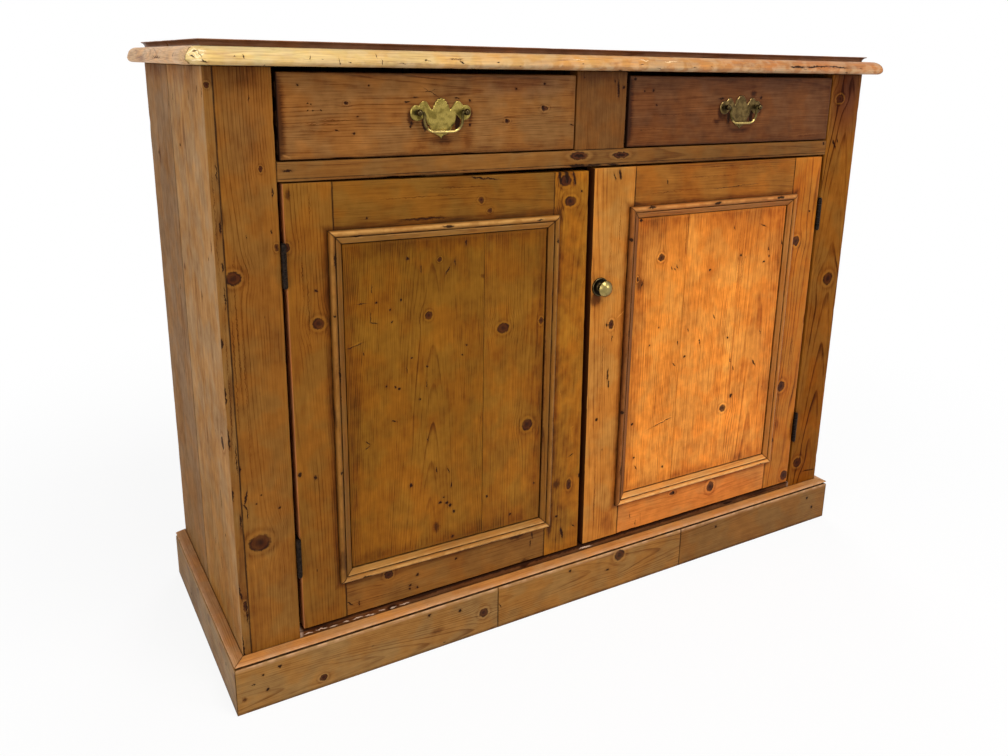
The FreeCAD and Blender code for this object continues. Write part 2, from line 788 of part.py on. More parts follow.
def knob():
    """Turned knob on its spindle, the rosette behind it and the catch inside the door."""
    bore = spindle_radius + spindle_clearance
    rim_inner = rosette_radius - 2 * rosette_rim
    rosette = outline(
        (bore, 0),
        (rosette_radius, 0),
        (rosette_radius, rosette_rim_height - rosette_rim),
        ((rosette_radius - rosette_rim, rosette_rim_height), (rim_inner, rosette_rim_height - rosette_rim)),
        (rim_inner, rosette_thickness),
        (rosette_collar_radius, rosette_thickness),
        (rosette_collar_radius - rosette_collar_taper, rosette_collar_height),
        (bore, rosette_collar_height),
    )
    neck = rosette_collar_height + spindle_end_gap
    waist = (neck + knob_widest) / 2
    catch_front = door_thickness + catch_gap
    flare = (
        (knob_radius + knob_neck_radius) / 2 - knob_hollow,
        (waist + knob_widest) / 2 + knob_hollow,
    )
    dome = knob_reach - knob_widest
    dome_radius = (knob_radius ** 2 + dome ** 2) / (2 * dome)
    dome_centre = (0, knob_reach - dome_radius)
    dome_half = 90 - math.degrees(math.asin(knob_radius / dome_radius)) / 2
    body = outline(
        (0, -catch_front),
        (spindle_radius, -catch_front),
        (spindle_radius, neck),
        (knob_neck_radius, neck),
        (knob_neck_radius, waist),
        (flare, (knob_radius, knob_widest)),
        (on_circle(dome_centre, dome_radius, dome_half), (0, knob_reach)),
    )
    turned_knob = turned(body, knob_x, knob_z)
    y = front + catch_front
    half = catch_square / 2
    square = box(knob_x - half, knob_x + half, y, y + catch_thickness, knob_z - half, knob_z + half)
    rivet = rod(knob_x, y + catch_thickness, knob_z, Y, rivet_height, rivet_radius)
    hole_half = half + catch_square_clearance
    hole = box(
        knob_x - hole_half, knob_x + hole_half, y, y + catch_thickness,
        knob_z - hole_half, knob_z + hole_half,
    )
    tip = knob_z + catch_length - catch_width / 2
    catch = joined(
        box(knob_x - catch_width / 2, knob_x + catch_width / 2, y, y + catch_thickness, knob_z, tip),
        rod(knob_x, y, knob_z, Y, catch_thickness, catch_width / 2),
        rod(knob_x, y, tip, Y, catch_thickness, catch_width / 2),
    ).cut(hole)
    return {
        "knob": [joined(turned_knob, square, rivet)],
        "knob_rosette": [turned(rosette, knob_x, knob_z)],
        "knob_catch": [catch],
    }


def bolt():
    """Sliding bolt with its plate and keepers, on the back of the left door."""
    keeper_top = bolt_tip - bolt_upper_keeper
    lower_top = keeper_top - bolt_keeper_height - bolt_keeper_space
    foot = lower_top - bolt_keeper_height
    keeper_back = door_back + bolt_plate_thickness + bolt_keeper_depth
    half = bolt_keeper_width / 2
    bore = rod(bolt_x, bolt_y, foot, Z, keeper_top - foot, bolt_radius + bolt_clearance)
    plate = box(
        bolt_x - bolt_plate_width / 2, bolt_x + bolt_plate_width / 2,
        door_back, door_back + bolt_plate_thickness, foot, keeper_top,
    )
    keepers = []
    for z in (keeper_top, lower_top):
        keepers.append(box(
            bolt_x - half, bolt_x + half, door_back + bolt_plate_thickness, keeper_back,
            z - bolt_keeper_height, z,
        ))
    shaft_foot = foot - bolt_tail
    stud_z = lower_top + bolt_stud_rest + bolt_stud_radius
    shaft = joined(
        rod(bolt_x, bolt_y, shaft_foot, Z, bolt_tip - shaft_foot, bolt_radius),
        rod(bolt_x, bolt_y, stud_z, Y, bolt_stud_length, bolt_stud_radius),
    )
    return {"bolt_plate": [joined(plate, *keepers).cut(bore)], "bolt": [shaft]}


def dovetails(x0, x1):
    """Tails on the front end of a drawer side, flared towards their tips."""
    pitch = (drawer_side_top - drawer_side_foot) / dovetail_count
    tip = front + dovetail_lap
    tails = []
    for index in range(dovetail_count):
        middle = drawer_side_foot + (index + 0.5) * pitch
        root = dovetail_root / 2
        end = root + dovetail_flare
        corners = [
            FreeCAD.Vector(x0, drawer_front_back, middle - root),
            FreeCAD.Vector(x0, drawer_front_back, middle + root),
            FreeCAD.Vector(x0, tip, middle + end),
            FreeCAD.Vector(x0, tip, middle - end),
        ]
        tails.append(Part.Face(Part.makePolygon(corners + corners[:1])).extrude(X * (x1 - x0)))
    return tails


def handle_places():
    """Middle of each handle's plate, across and up."""
    asides = {"left": left_handle_aside, "right": right_handle_aside}
    drops = {"left": left_handle_drop, "right": right_handle_drop}
    middle = (drawer_front_foot + drawer_front_top) / 2
    places = {}
    for name, (x0, x1) in drawer_places().items():
        places[name] = ((x0 + x1) / 2 + asides[name], middle - drops[name])
    return places


def drawer(name, x0, x1):
    """Dovetailed drawer with a bottom in grooves, bored for its handle."""
    handle_x, plate_z = handle_places()[name]
    bores = []
    for offset in (-post_spacing / 2, post_spacing / 2):
        bores.append(rod(
            handle_x + offset, front, plate_z + post_lift, Y, drawer_front_thickness,
            post_shank_radius + post_shank_clearance,
        ))
    inner_left = x0 + drawer_side_thickness
    inner_right = x1 - drawer_side_thickness
    bottom = box(
        inner_left - drawer_groove, inner_right + drawer_groove,
        drawer_front_back - drawer_groove, drawer_back, drawer_bottom_foot, drawer_bottom_top,
    )
    back_board = box(
        inner_left - drawer_back_housing, inner_right + drawer_back_housing,
        drawer_back - drawer_back_thickness, drawer_back,
        drawer_bottom_top, drawer_side_top - drawer_back_drop,
    )
    front_board = box(x0, x1, front, drawer_front_back, drawer_front_foot, drawer_front_top)
    side_boards = []
    for left, right in ((x0, inner_left), (inner_right, x1)):
        tails = dovetails(left, right)
        board = box(left, right, drawer_front_back, drawer_back, drawer_side_foot, drawer_side_top)
        side_boards.append(joined(board, *tails).cut([bottom, back_board]))
        front_board = front_board.cut(tails)
    return {
        f"drawer_{name}_front": [front_board.cut([bottom] + bores)],
        f"drawer_{name}_sides": side_boards,
        f"drawer_{name}_back": [back_board],
        f"drawer_{name}_bottom": [bottom],
    }


def handle_plate(x, z):
    """Winged back plate with a crest, eared shoulders and a pointed foot."""
    half_post = post_spacing / 2
    right_half = [
        ((4.2, 26.2), (7.0, 23.7)),
        ((9.6, 21.2), (11.2, 16.9)),
        ((12.6, 14.2), (13.4, 11.4)),
        ((half_post - 16.0, 17.6), (half_post - 10.0, 22.4)),
        ((half_post - 6.6, 23.2), (half_post - 3.6, 21.0)),
        (half_post, 17.0),
        ((half_post + 8.2, 14.8), (half_post + 10.0, 8.4)),
        ((half_post + 7.6, 0.4), (half_post + 2.0, -2.8)),
        ((half_post - 6.0, -1.4), (half_post - 10.0, 2.6)),
        (23.0, 4.2),
        ((22.0, -2.0), (19.6, -8.2)),
        (17.6, -9.0),
        ((12.8, -17.8), (4.4, -23.0)),
        ((2.6, -24.2), (0.0, -27.0)),
    ]
    crest = (0.0, 27.4)
    points = [crest] + [step[1] if isinstance(step[0], tuple) else step for step in right_half]
    left_half = []
    for step, target in zip(reversed(right_half), reversed(points[:-1])):
        end = (-target[0], target[1])
        if isinstance(step[0], tuple):
            left_half.append(((-step[0][0], step[0][1]), end))
        else:
            left_half.append(end)
    face = outline(crest, *right_half, *left_half)
    field = face.makeOffset2D(-plate_rim).extrude(X * plate_thickness)
    blank = joined(face.extrude(X * plate_rim_thickness), field)
    blank = placed(blank, (x, front, z), -Y, X)
    for offset in (-half_post, half_post):
        blank = blank.cut(rod(
            x + offset, front, z + post_lift, -Y, plate_thickness,
            post_shank_radius + post_shank_clearance,
        ))
    return blank


def handle_posts(x, post_z):
    """Two ball-headed posts through the drawer front, each with its nut inside."""
    seat = plate_thickness
    ball = seat + post_standoff
    shank_end = drawer_front_thickness + nut_height
    neck_rise = math.sqrt(post_ball_radius ** 2 - post_neck_radius ** 2)
    post_face = outline(
        (0, -shank_end),
        (post_shank_radius, -shank_end),
        (post_shank_radius, seat),
        (post_collar_radius, seat),
        (post_collar_radius, seat + post_collar_height),
        (post_neck_radius, seat + post_collar_height),
        (post_neck_radius, ball - neck_rise),
        ((post_ball_radius, ball), (0, ball + post_ball_radius)),
    )
    nut_face = outline(
        (post_shank_radius + post_shank_clearance, -drawer_front_thickness),
        (nut_radius, -drawer_front_thickness),
        (nut_radius, -shank_end),
        (post_shank_radius + post_shank_clearance, -shank_end),
    )
    solids = []
    for sign in (-1, 1):
        post_x = x + sign * post_spacing / 2
        socket = rod(
            post_x - sign * post_ball_radius, bail_axis_y, post_z, X * sign,
            bail_gap + bail_pin_depth + bail_pin_clearance, bail_pin_radius + bail_pin_clearance,
        )
        solids.append(turned(post_face, post_x, post_z).cut(socket))
        solids.append(turned(nut_face, post_x, post_z))
    return solids


def handle_bail(x, post_z):
    """Drop handle between the posts: arms, round corners, a swelled grip and two end pins."""
    arm = post_spacing / 2 - post_ball_radius - bail_gap - bail_rod_radius
    grip_z = post_z - bail_drop
    corner_z = grip_z + bail_corner
    corner_x = arm - bail_corner
    lower = bail_corner * math.sin(math.radians(45))

    def at(offset, z):
        return FreeCAD.Vector(x + offset, bail_axis_y, z)

    path = Part.Wire([
        Part.LineSegment(at(-arm, post_z), at(-arm, corner_z)).toShape(),
        Part.Arc(
            at(-arm, corner_z), at(-corner_x - lower, corner_z - lower), at(-corner_x, grip_z),
        ).toShape(),
        Part.LineSegment(at(-corner_x, grip_z), at(corner_x, grip_z)).toShape(),
        Part.Arc(
            at(corner_x, grip_z), at(corner_x + lower, corner_z - lower), at(arm, corner_z),
        ).toShape(),
        Part.LineSegment(at(arm, corner_z), at(arm, post_z)).toShape(),
    ])
    section = Part.Wire([Part.makeCircle(bail_rod_radius, at(-arm, post_z), Z)])
    loop = path.makePipeShell([section], True, False)
    half = bail_swell_length / 2
    grip = outline(
        (bail_rod_radius - bail_swell_sink, -half),
        ((bail_rod_radius + bail_swell, 0), (bail_rod_radius - bail_swell_sink, half)),
        (0, half),
        (0, -half),
    )
    swell = grip.revolve(FreeCAD.Vector(), Z, 360)
    swell = placed(swell, (x, bail_axis_y, grip_z), Z, Y)
    ends = []
    for sign in (-1, 1):
        ends.append(Part.makeSphere(bail_rod_radius, at(sign * arm, post_z)))
        ends.append(rod(
            x + sign * arm, bail_axis_y, post_z, X * sign,
            bail_rod_radius + bail_gap + bail_pin_depth, bail_pin_radius,
        ))
    return joined(loop, swell, *ends)


def drawers():
    """Both drawers with their handles."""
    nodes = {}
    places = handle_places()
    for name, (x0, x1) in drawer_places().items():
        x, plate_z = places[name]
        nodes.update(drawer(name, x0, x1))
        nodes[f"handle_{name}_plate"] = [handle_plate(x, plate_z)]
        nodes[f"handle_{name}_posts"] = handle_posts(x, plate_z + post_lift)
        nodes[f"handle_{name}_bail"] = [handle_bail(x, plate_z + post_lift)]
    return nodes


def main():
    """Build every piece and write one file per node."""
    nodes = {}
    builders = (
        sides, face_frame, floor_and_shelf, back_boards, top, plinth,
        drawer_supports, hinges, doors, knob, bolt, drawers,
    )
    for build in builders:
        nodes.update(build())
    os.makedirs("parts", exist_ok=True)
    for name, solids in nodes.items():
        shape = solids[0] if len(solids) == 1 else Part.makeCompound(solids)
        shape.exportStep(f"parts/{name}.step")


main()
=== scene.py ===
"""Looks of an old waxed pine cupboard with two drawers over two panelled doors.

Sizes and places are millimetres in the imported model's frame: +X right, +Y back, +Z up.
Meshes are written in metres, in the same frame, so every piece lies where its solid lies.
"""
import json
import logging
import math
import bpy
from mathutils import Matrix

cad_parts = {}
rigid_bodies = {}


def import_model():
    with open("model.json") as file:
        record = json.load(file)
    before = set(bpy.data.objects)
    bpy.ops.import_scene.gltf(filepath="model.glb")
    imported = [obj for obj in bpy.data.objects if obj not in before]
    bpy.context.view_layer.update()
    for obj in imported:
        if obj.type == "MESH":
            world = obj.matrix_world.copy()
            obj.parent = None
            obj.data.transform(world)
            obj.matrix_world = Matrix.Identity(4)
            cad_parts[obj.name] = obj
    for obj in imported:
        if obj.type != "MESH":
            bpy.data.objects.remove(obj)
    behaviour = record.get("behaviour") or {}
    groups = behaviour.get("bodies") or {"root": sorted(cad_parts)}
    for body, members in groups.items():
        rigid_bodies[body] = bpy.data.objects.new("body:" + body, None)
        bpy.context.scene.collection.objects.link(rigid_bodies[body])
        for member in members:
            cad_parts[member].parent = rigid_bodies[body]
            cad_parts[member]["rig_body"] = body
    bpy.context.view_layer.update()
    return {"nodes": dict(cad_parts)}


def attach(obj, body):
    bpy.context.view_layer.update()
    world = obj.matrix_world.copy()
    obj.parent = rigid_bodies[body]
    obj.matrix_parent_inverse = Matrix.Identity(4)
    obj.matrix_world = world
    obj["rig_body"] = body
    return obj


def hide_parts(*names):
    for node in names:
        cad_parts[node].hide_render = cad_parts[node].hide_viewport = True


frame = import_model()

import zlib
from collections.abc import Callable, Sequence
from dataclasses import dataclass, field, replace
from enum import Enum

import bmesh
import bpy
from mathutils import Matrix, Vector, noise

LOG = logging.getLogger("cupboard")
METRES = 0.001

Colour = tuple[float, float, float]
Point = tuple[float, float]
Triple = tuple[float, float, float]


def linear(red: float, green: float, blue: float) -> Colour:
    """Turn a colour as a screen shows it, from 0 to 255, into the light that a shader works with."""
    shares = (value / 255 for value in (red, green, blue))
    return tuple(c / 12.92 if c < 0.04045 else ((c + 0.055) / 1.055) ** 2.4 for c in shares)


def seed_of(name: str) -> Vector:
    """Give a piece its own far-off corner of the noise, the same on every run."""
    key = zlib.crc32(name.encode())
    return Vector((key % 97, key // 97 % 89, key // 8633 % 83)) * 3.7


class Socket:
    """A shader socket that takes part in sums as a number or a vector does."""

    def __init__(self, tree: "Tree", end: bpy.types.NodeSocket) -> None:
        """Hold a node's output and the tree that it stands in."""
        self.tree = tree
        self.end = end

    @property
    def many(self) -> bool:
        """Say whether the socket carries a vector or a colour."""
        return self.end.type in ("VECTOR", "RGBA")

    def output(self, name: str) -> "Socket":
        """Give another output of the same node."""
        return Socket(self.tree, self.end.node.outputs[name])

    def __add__(self, other: "Term") -> "Socket":
        """Add a term."""
        return self.tree.sum("ADD", self, other)

    def __radd__(self, other: "Term") -> "Socket":
        """Add this to a term."""
        return self.tree.sum("ADD", other, self)

    def __sub__(self, other: "Term") -> "Socket":
        """Take a term away."""
        return self.tree.sum("SUBTRACT", self, other)

    def __rsub__(self, other: "Term") -> "Socket":
        """Take this away from a term."""
        return self.tree.sum("SUBTRACT", other, self)

    def __mul__(self, other: "Term") -> "Socket":
        """Multiply by a term."""
        return self.tree.sum("MULTIPLY", self, other)

    def __truediv__(self, other: "Term") -> "Socket":
        """Divide by a term."""
        return self.tree.sum("DIVIDE", self, other)

    def most(self, other: "Term") -> "Socket":
        """Take the larger of two values."""
        return self.tree.sum("MAXIMUM", self, other)

    def size(self) -> "Socket":
        """Drop the sign."""
        return self.tree.sum("ABSOLUTE", self)

    def whole(self) -> "Socket":
        """Drop the fraction."""
        return self.tree.sum("FLOOR", self)

    def fraction(self) -> "Socket":
        """Keep the fraction only."""
        return self.tree.sum("FRACT", self)

    def power_of_e(self) -> "Socket":
        """Raise e to this."""
        return self.tree.sum("EXPONENT", self)

    def dot(self, other: "Term") -> "Socket":
        """Measure a vector along another."""
        settings = {"operation": "DOT_PRODUCT"}
        return self.tree.node("ShaderNodeVectorMath", settings, {0: self, 1: other}, "Value")

    def length(self) -> "Socket":
        """Measure a vector."""
        return self.tree.node("ShaderNodeVectorMath", {"operation": "LENGTH"}, {0: self}, "Value")

    def ease(self, low: float, high: float) -> "Socket":
        """Rise smoothly from 0 to 1 between two values.

        Args:
            low: Value at which the rise starts.
            high: Value at which it ends.

        Returns:
            The eased value.
        """
        return self.tree.node(
            "ShaderNodeMapRange", {"interpolation_type": "SMOOTHSTEP"},
            {"Value": self, "From Min": low, "From Max": high}, "Result",
        )


Term = Socket | float | Triple


class Tree:
    """The nodes of one material or of the world."""

    def __init__(self, tree: bpy.types.NodeTree) -> None:
        """Start from an empty node tree."""
        tree.nodes.clear()
        self.tree = tree

    def node(
        self, kind: str, settings: dict[str, object] | None = None,
        inputs: dict[str | int, Term] | None = None, output: str | int = 0,
    ) -> Socket:
        """Add a node.

        Args:
            kind: The node's type.
            settings: Its own properties, set first; stops are those of a ramp.
            inputs: Values or links of its sockets, by name or number.
            output: The output that is wanted.

        Returns:
            That output.
        """
        made = self.tree.nodes.new(kind)
        for key, value in (settings or {}).items():
            if key == "stops":
                self._ramp(made.color_ramp, value)
            else:
                setattr(made, key, value)
        for key, value in (inputs or {}).items():
            if isinstance(value, Socket):
                self.tree.links.new(value.end, made.inputs[key])
            else:
                self._set(made.inputs[key], value)
        return Socket(self, made.outputs[output] if made.outputs else made.inputs[0])

    @staticmethod
    def _ramp(ramp: bpy.types.ColorRamp, stops: Sequence[tuple[float, Colour]]) -> None:
        """Give a ramp its stops.

        Args:
            ramp: Ramp of a node.
            stops: Place and colour of each stop.
        """
        while len(ramp.elements) < len(stops):
            ramp.elements.new(0.5)
        for element, (place, colour) in zip(ramp.elements, stops):
            element.position = place
            element.color = (*colour, 1.0)

    @staticmethod
    def _set(end: bpy.types.NodeSocket, value: object) -> None:
        """Set a socket's own value, widened where the socket holds a colour or a vector.

        Args:
            end: Input of a node.
            value: Number, colour or vector.
        """
        if end.type == "RGBA":
            end.default_value = (*value, 1.0)
        elif end.type == "VECTOR" and isinstance(value, (int, float)):
            end.default_value = (value, value, value)
        else:
            end.default_value = value

    def sum(self, operation: str, first: Term, second: Term = 0.0) -> Socket:
        """Add a Math node, or a Vector Math node where a term is a vector.

        Args:
            operation: The node's operation.
            first: The first term.
            second: The second term.

        Returns:
            The result.
        """
        terms = (first, second)
        many = [isinstance(t, tuple) or isinstance(t, Socket) and t.many for t in terms]
        if not any(many):
            return self.node("ShaderNodeMath", {"operation": operation}, {0: first, 1: second})
        if operation == "MULTIPLY" and isinstance(second, Socket) and not many[1]:
            return self.node("ShaderNodeVectorMath", {"operation": "SCALE"}, {0: first, 3: second})
        return self.node("ShaderNodeVectorMath", {"operation": operation}, {0: first, 1: second})

    def blend(self, share: Term, first: Socket | Colour, second: Socket | Colour) -> Socket:
        """Mix two colours, with a share of the second."""
        return self.node("ShaderNodeMix", {"data_type": "RGBA"}, {0: share, 6: first, 7: second}, 2)

    def cloud(self, place: Socket, size: Triple, detail: float = 2.0, output: int = 0) -> Socket:
        """Add noise about 0.5.

        Args:
            place: Place of the point.
            size: Size of the lumps along each axis, in millimetres.
            detail: Number of finer layers.
            output: 0 for one value, 1 for three at once.

        Returns:
            The noise.
        """
        scaled = place * tuple(1 / length for length in size)
        inputs = {"Vector": scaled, "Scale": 1.0, "Detail": detail}
        return self.node("ShaderNodeTexNoise", None, inputs, output)

    def point_value(self, name: str) -> Socket:
        """Read a value that the mesh holds at its vertices."""
        return self.node("ShaderNodeAttribute", {"attribute_name": name}, None, "Fac")

    def finish(self, height: Socket, inputs: dict[str, Term]) -> None:
        """Close a material with one shader over its whole surface.

        Args:
            height: Fine relief of the surface, in millimetres.
            inputs: Values or links of the shader's sockets.
        """
        normal = self.node("ShaderNodeBump", None, {"Strength": 0.5, "Distance": METRES, "Height": height})
        shader = self.node("ShaderNodeBsdfPrincipled", None, {**inputs, "Normal": normal})
        self.node("ShaderNodeOutputMaterial", None, {"Surface": shader})


def new_material(name: str) -> tuple[bpy.types.Material, Tree]:
    """Start a material and give its empty nodes with it.

    Args:
        name: Name of the material.

    Returns:
        The material and the tree of its nodes.
    """
    made = bpy.data.materials.new(name)
    made.use_nodes = True
    return made, Tree(made.node_tree)


class Face(Enum):
    """The way a board faces: its level, upright and inward axes."""

    FRONT = (0, 2, 1)
    SIDE = (1, 2, 0)
    TOP = (0, 1, 2)


class Grain(Enum):
    """The way the fibres run on a face."""

    LEVEL = "level"
    UPRIGHT = "upright"

    def axis(self, face: Face) -> int:
        """Number of the axis that the fibres follow."""
        return face.value[0 if self is Grain.LEVEL else 1]


class MarkKind(Enum):
    """What time or growth has left on a board, and the shade and light painted on it."""

    KNOT = "knot"
    HOLE = "hole"
    SMUDGE = "smudge"
    SCRATCH = "scratch"
    WASH = "wash"


@dataclass(frozen=True)
class Mark:
    """One mark on a face, as an oval: place, half sizes, turn, strength and tint."""

    kind: MarkKind
    level: float
    upright: float
    half_level: float
    half_upright: float
    turn: float = 0.0
    strength: float = 1.0
    tint: Colour = (1.0, 1.0, 1.0)

    def oval(self, flat: Socket) -> Socket:
        """Measure how far out a point lies, 1 on the oval itself.

        Args:
            flat: The point on the face: level, upright.

        Returns:
            The distance as a share of the half sizes.
        """
        away = flat - (self.level, self.upright, 0.0)
        if not self.turn:
            return (away * (1 / self.half_level, 1 / self.half_upright, 0.0)).length()
        c, s = math.cos(math.radians(self.turn)), math.sin(math.radians(self.turn))
        across = away.dot((c / self.half_level, s / self.half_level, 0.0))
        along = away.dot((-s / self.half_upright, c / self.half_upright, 0.0))
        return flat.tree.node("ShaderNodeCombineXYZ", None, {0: across, 1: along}).length()


def knot(level: float, upright: float, radius: float, tall: float = 0.85) -> Mark:
    """A knot, with its height as a share of its width."""
    return Mark(MarkKind.KNOT, level, upright, radius, radius * tall)


def hole(level: float, upright: float, radius: float = 2.2) -> Mark:
    """A nail hole or worm hole."""
    return Mark(MarkKind.HOLE, level, upright, radius, radius)


def split(level: float, upright: float, length: float, width: float = 1.6, turn: float = 0.0) -> Mark:
    """A dark crack or gouge; it stands upright where the turn is 0."""
    return Mark(MarkKind.HOLE, level, upright, width / 2, length / 2, turn)


def vein(level: float, upright: float, length: float, width: float = 1.0, turn: float = 0.0) -> Mark:
    """A thin dark line in the grain."""
    return Mark(MarkKind.SMUDGE, level, upright, width, length / 2, turn, 0.32)


def smudge(level: float, upright: float, half_level: float, half_upright: float, strength: float) -> Mark:
    """A dark patch with a soft edge: a stain, and in many places painted shade and painted shadows."""
    return Mark(MarkKind.SMUDGE, level, upright, half_level, half_upright, 0.0, strength)


def scratch(level: float, upright: float, length: float, width: float = 1.6, turn: float = 0.0) -> Mark:
    """A scratch rubbed pale; it stands upright where the turn is 0."""
    return Mark(MarkKind.SCRATCH, level, upright, width / 2, length / 2, turn, 0.8)


def wash(level: float, upright: float, half_level: float, half_upright: float, tint: Colour) -> Mark:
    """A broad place where the wood is lighter, darker or redder; in places painted light and shade."""
    return Mark(MarkKind.WASH, level, upright, half_level, half_upright, 0.0, 1.0, tint)


@dataclass(frozen=True)
class Lie:
    """How a board lies: the way it faces, the way it runs and its middle."""

    face: Face
    grain: Grain
    middle: Triple


@dataclass(frozen=True)
class DirtAndShade:
    """Old wax and dirt, and painted shade, along the outline of an oblong, on both sides of it."""

    level: Point
    upright: Point
    reach: float
    strength: float

    def depth(self, level: Socket, upright: Socket) -> Socket:
        """Measure how much darker a point is, from its level and upright place.

        Args:
            level: Place of the point along the level.
            upright: Place of the point along the upright.

        Returns:
            The share by which it is darker.
        """
        across, rise = (
            (place - (low + high) / 2).size() - (high - low) / 2
            for place, (low, high) in ((level, self.level), (upright, self.upright))
        )
        return (1 - across.most(rise).size().ease(0.0, self.reach)) * self.strength


@dataclass
class StainsAndShade:
    """What marks do to a board, painted shade and light among them: shares from 0 to 1, a darkening, a tint
    and the bent rings.
    """

    bent: Socket                        # place across the fibres, pushed aside by knots
    halo: Term = 0.0                    # how much darker the wood is
    core: Term = 0.0                    # of knots
    heart: Term = 0.0                   # the dark middle of knots
    rim: Term = 0.0                     # the black ring of knots
    collar: Term = 0.0                  # the pale ring round knots
    black: Term = 0.0                   # of holes and splits
    pale: Term = 0.0                    # of scratches
    tint: Socket | None = None          # what washes multiply the colour by

    def take(self, mark: Mark, flat: Socket, across: Socket, own: float) -> None:
        """Add one mark.

        Args:
            mark: The mark.
            flat: The point on the face.
            across: The point's place across the fibres.
            own: The mark's place across the fibres.
        """
        oval = mark.oval(flat)
        if mark.kind is MarkKind.KNOT:
            self.bent = self.bent - (across - own) * (oval * oval * -0.12).power_of_e() * 0.7
            self.core = (1 - oval.ease(0.8, 1.1)).most(self.core)
            self.heart = (1 - oval.ease(0.1, 0.75)).most(self.heart)
            self.rim = (oval.ease(0.66, 0.9) * (1 - oval.ease(0.94, 1.16))).most(self.rim)
            self.collar = (oval.ease(1.0, 1.2) * (1 - oval.ease(1.25, 1.7))).most(self.collar)
            self.halo = self.halo + oval.ease(1.2, 1.6) * (1 - oval.ease(1.6, 2.3)) * 0.16
        elif mark.kind is MarkKind.HOLE:
            self.black = (1 - oval.ease(0.72, 1.12)).most(self.black)
            self.halo = self.halo + (1 - oval.ease(0.9, 2.2)) * 0.14
        elif mark.kind is MarkKind.SMUDGE:
            self.halo = self.halo + (1 - oval.ease(0.2, 1.15)) * mark.strength
        elif mark.kind is MarkKind.SCRATCH:
            self.pale = ((1 - oval.ease(0.55, 1.1)) * mark.strength).most(self.pale)
        else:
            wet = flat.tree.blend(1 - oval.ease(0.1, 1.0), (1.0, 1.0, 1.0), mark.tint)
            self.tint = wet * self.tint if self.tint else wet


class Wood:
    """Where a point lies on a board, and the noises of its wood there."""

    def __init__(self, tree: Tree, name: str, lie: Lie) -> None:
        """Read the point and lay the noises along the fibres.

        Args:
            tree: The material's nodes.
            name: Name of the board, which sets its noises.
            lie: How the board lies.
        """
        self.tree = tree
        place = tree.node("ShaderNodeTexCoord", None, None, "Object") * 1000.0
        apart = tree.node("ShaderNodeSeparateXYZ", None, {0: place})
        axes = [apart.output(axis) for axis in "XYZ"]
        self.level, self.upright, self.inward = (axes[i] for i in lie.face.value)
        flat = tree.node("ShaderNodeCombineXYZ", None, {0: self.level, 1: self.upright})
        ways = (self.level, self.upright) if lie.grain is Grain.UPRIGHT else (self.upright, self.level)
        self.across, self.along = ways
        fibres = tree.node("ShaderNodeCombineXYZ", None, {0: self.across, 1: self.along, 2: self.inward})
        self.fibres = fibres + tuple(seed_of(name) * 10)
        broad, fine = (tree.cloud(self.fibres, (size,) * 3, detail, 1) for size, detail in ((6, 2), (1.7, 1)))
        self.flat = flat + (broad - 0.5) * 5.0 + (fine - 0.5) * 2.0
        self.fibre = self.cloud(1.3, 44, 2)
        self.streak = self.cloud(6, 260, 2)
        self.spots = self.cloud(13, 17, 6)
        self.patch = self.cloud(60, 75, 5)
        self.hue = self.cloud(40, 50, 4).ease(0.40, 0.60)

    def cloud(self, across: float, along: float, detail: float) -> Socket:
        """Noise with lumps of a width and a length along the fibres."""
        return self.tree.cloud(self.fibres, (across, along, across), detail)

    def ticks(self, share: float) -> Socket:
        """Small ticks and worm holes in a share of the cells along the fibres.

        Args:
            share: Share of the cells that hold one.

        Returns:
            The mask of the ticks.
        """
        cells = self.tree.node(
            "ShaderNodeTexVoronoi", None, {"Vector": self.fibres * (1 / 12, 1 / 30, 1 / 12), "Scale": 1.0},
        )
        chance = self.tree.node("ShaderNodeSeparateXYZ", None, {0: cells.output("Color")})
        chosen = 1 - chance.ease(share - 0.02, share)
        return (1 - cells.ease(0.05, 0.11)) * chosen * self.patch.ease(0.42, 0.6)


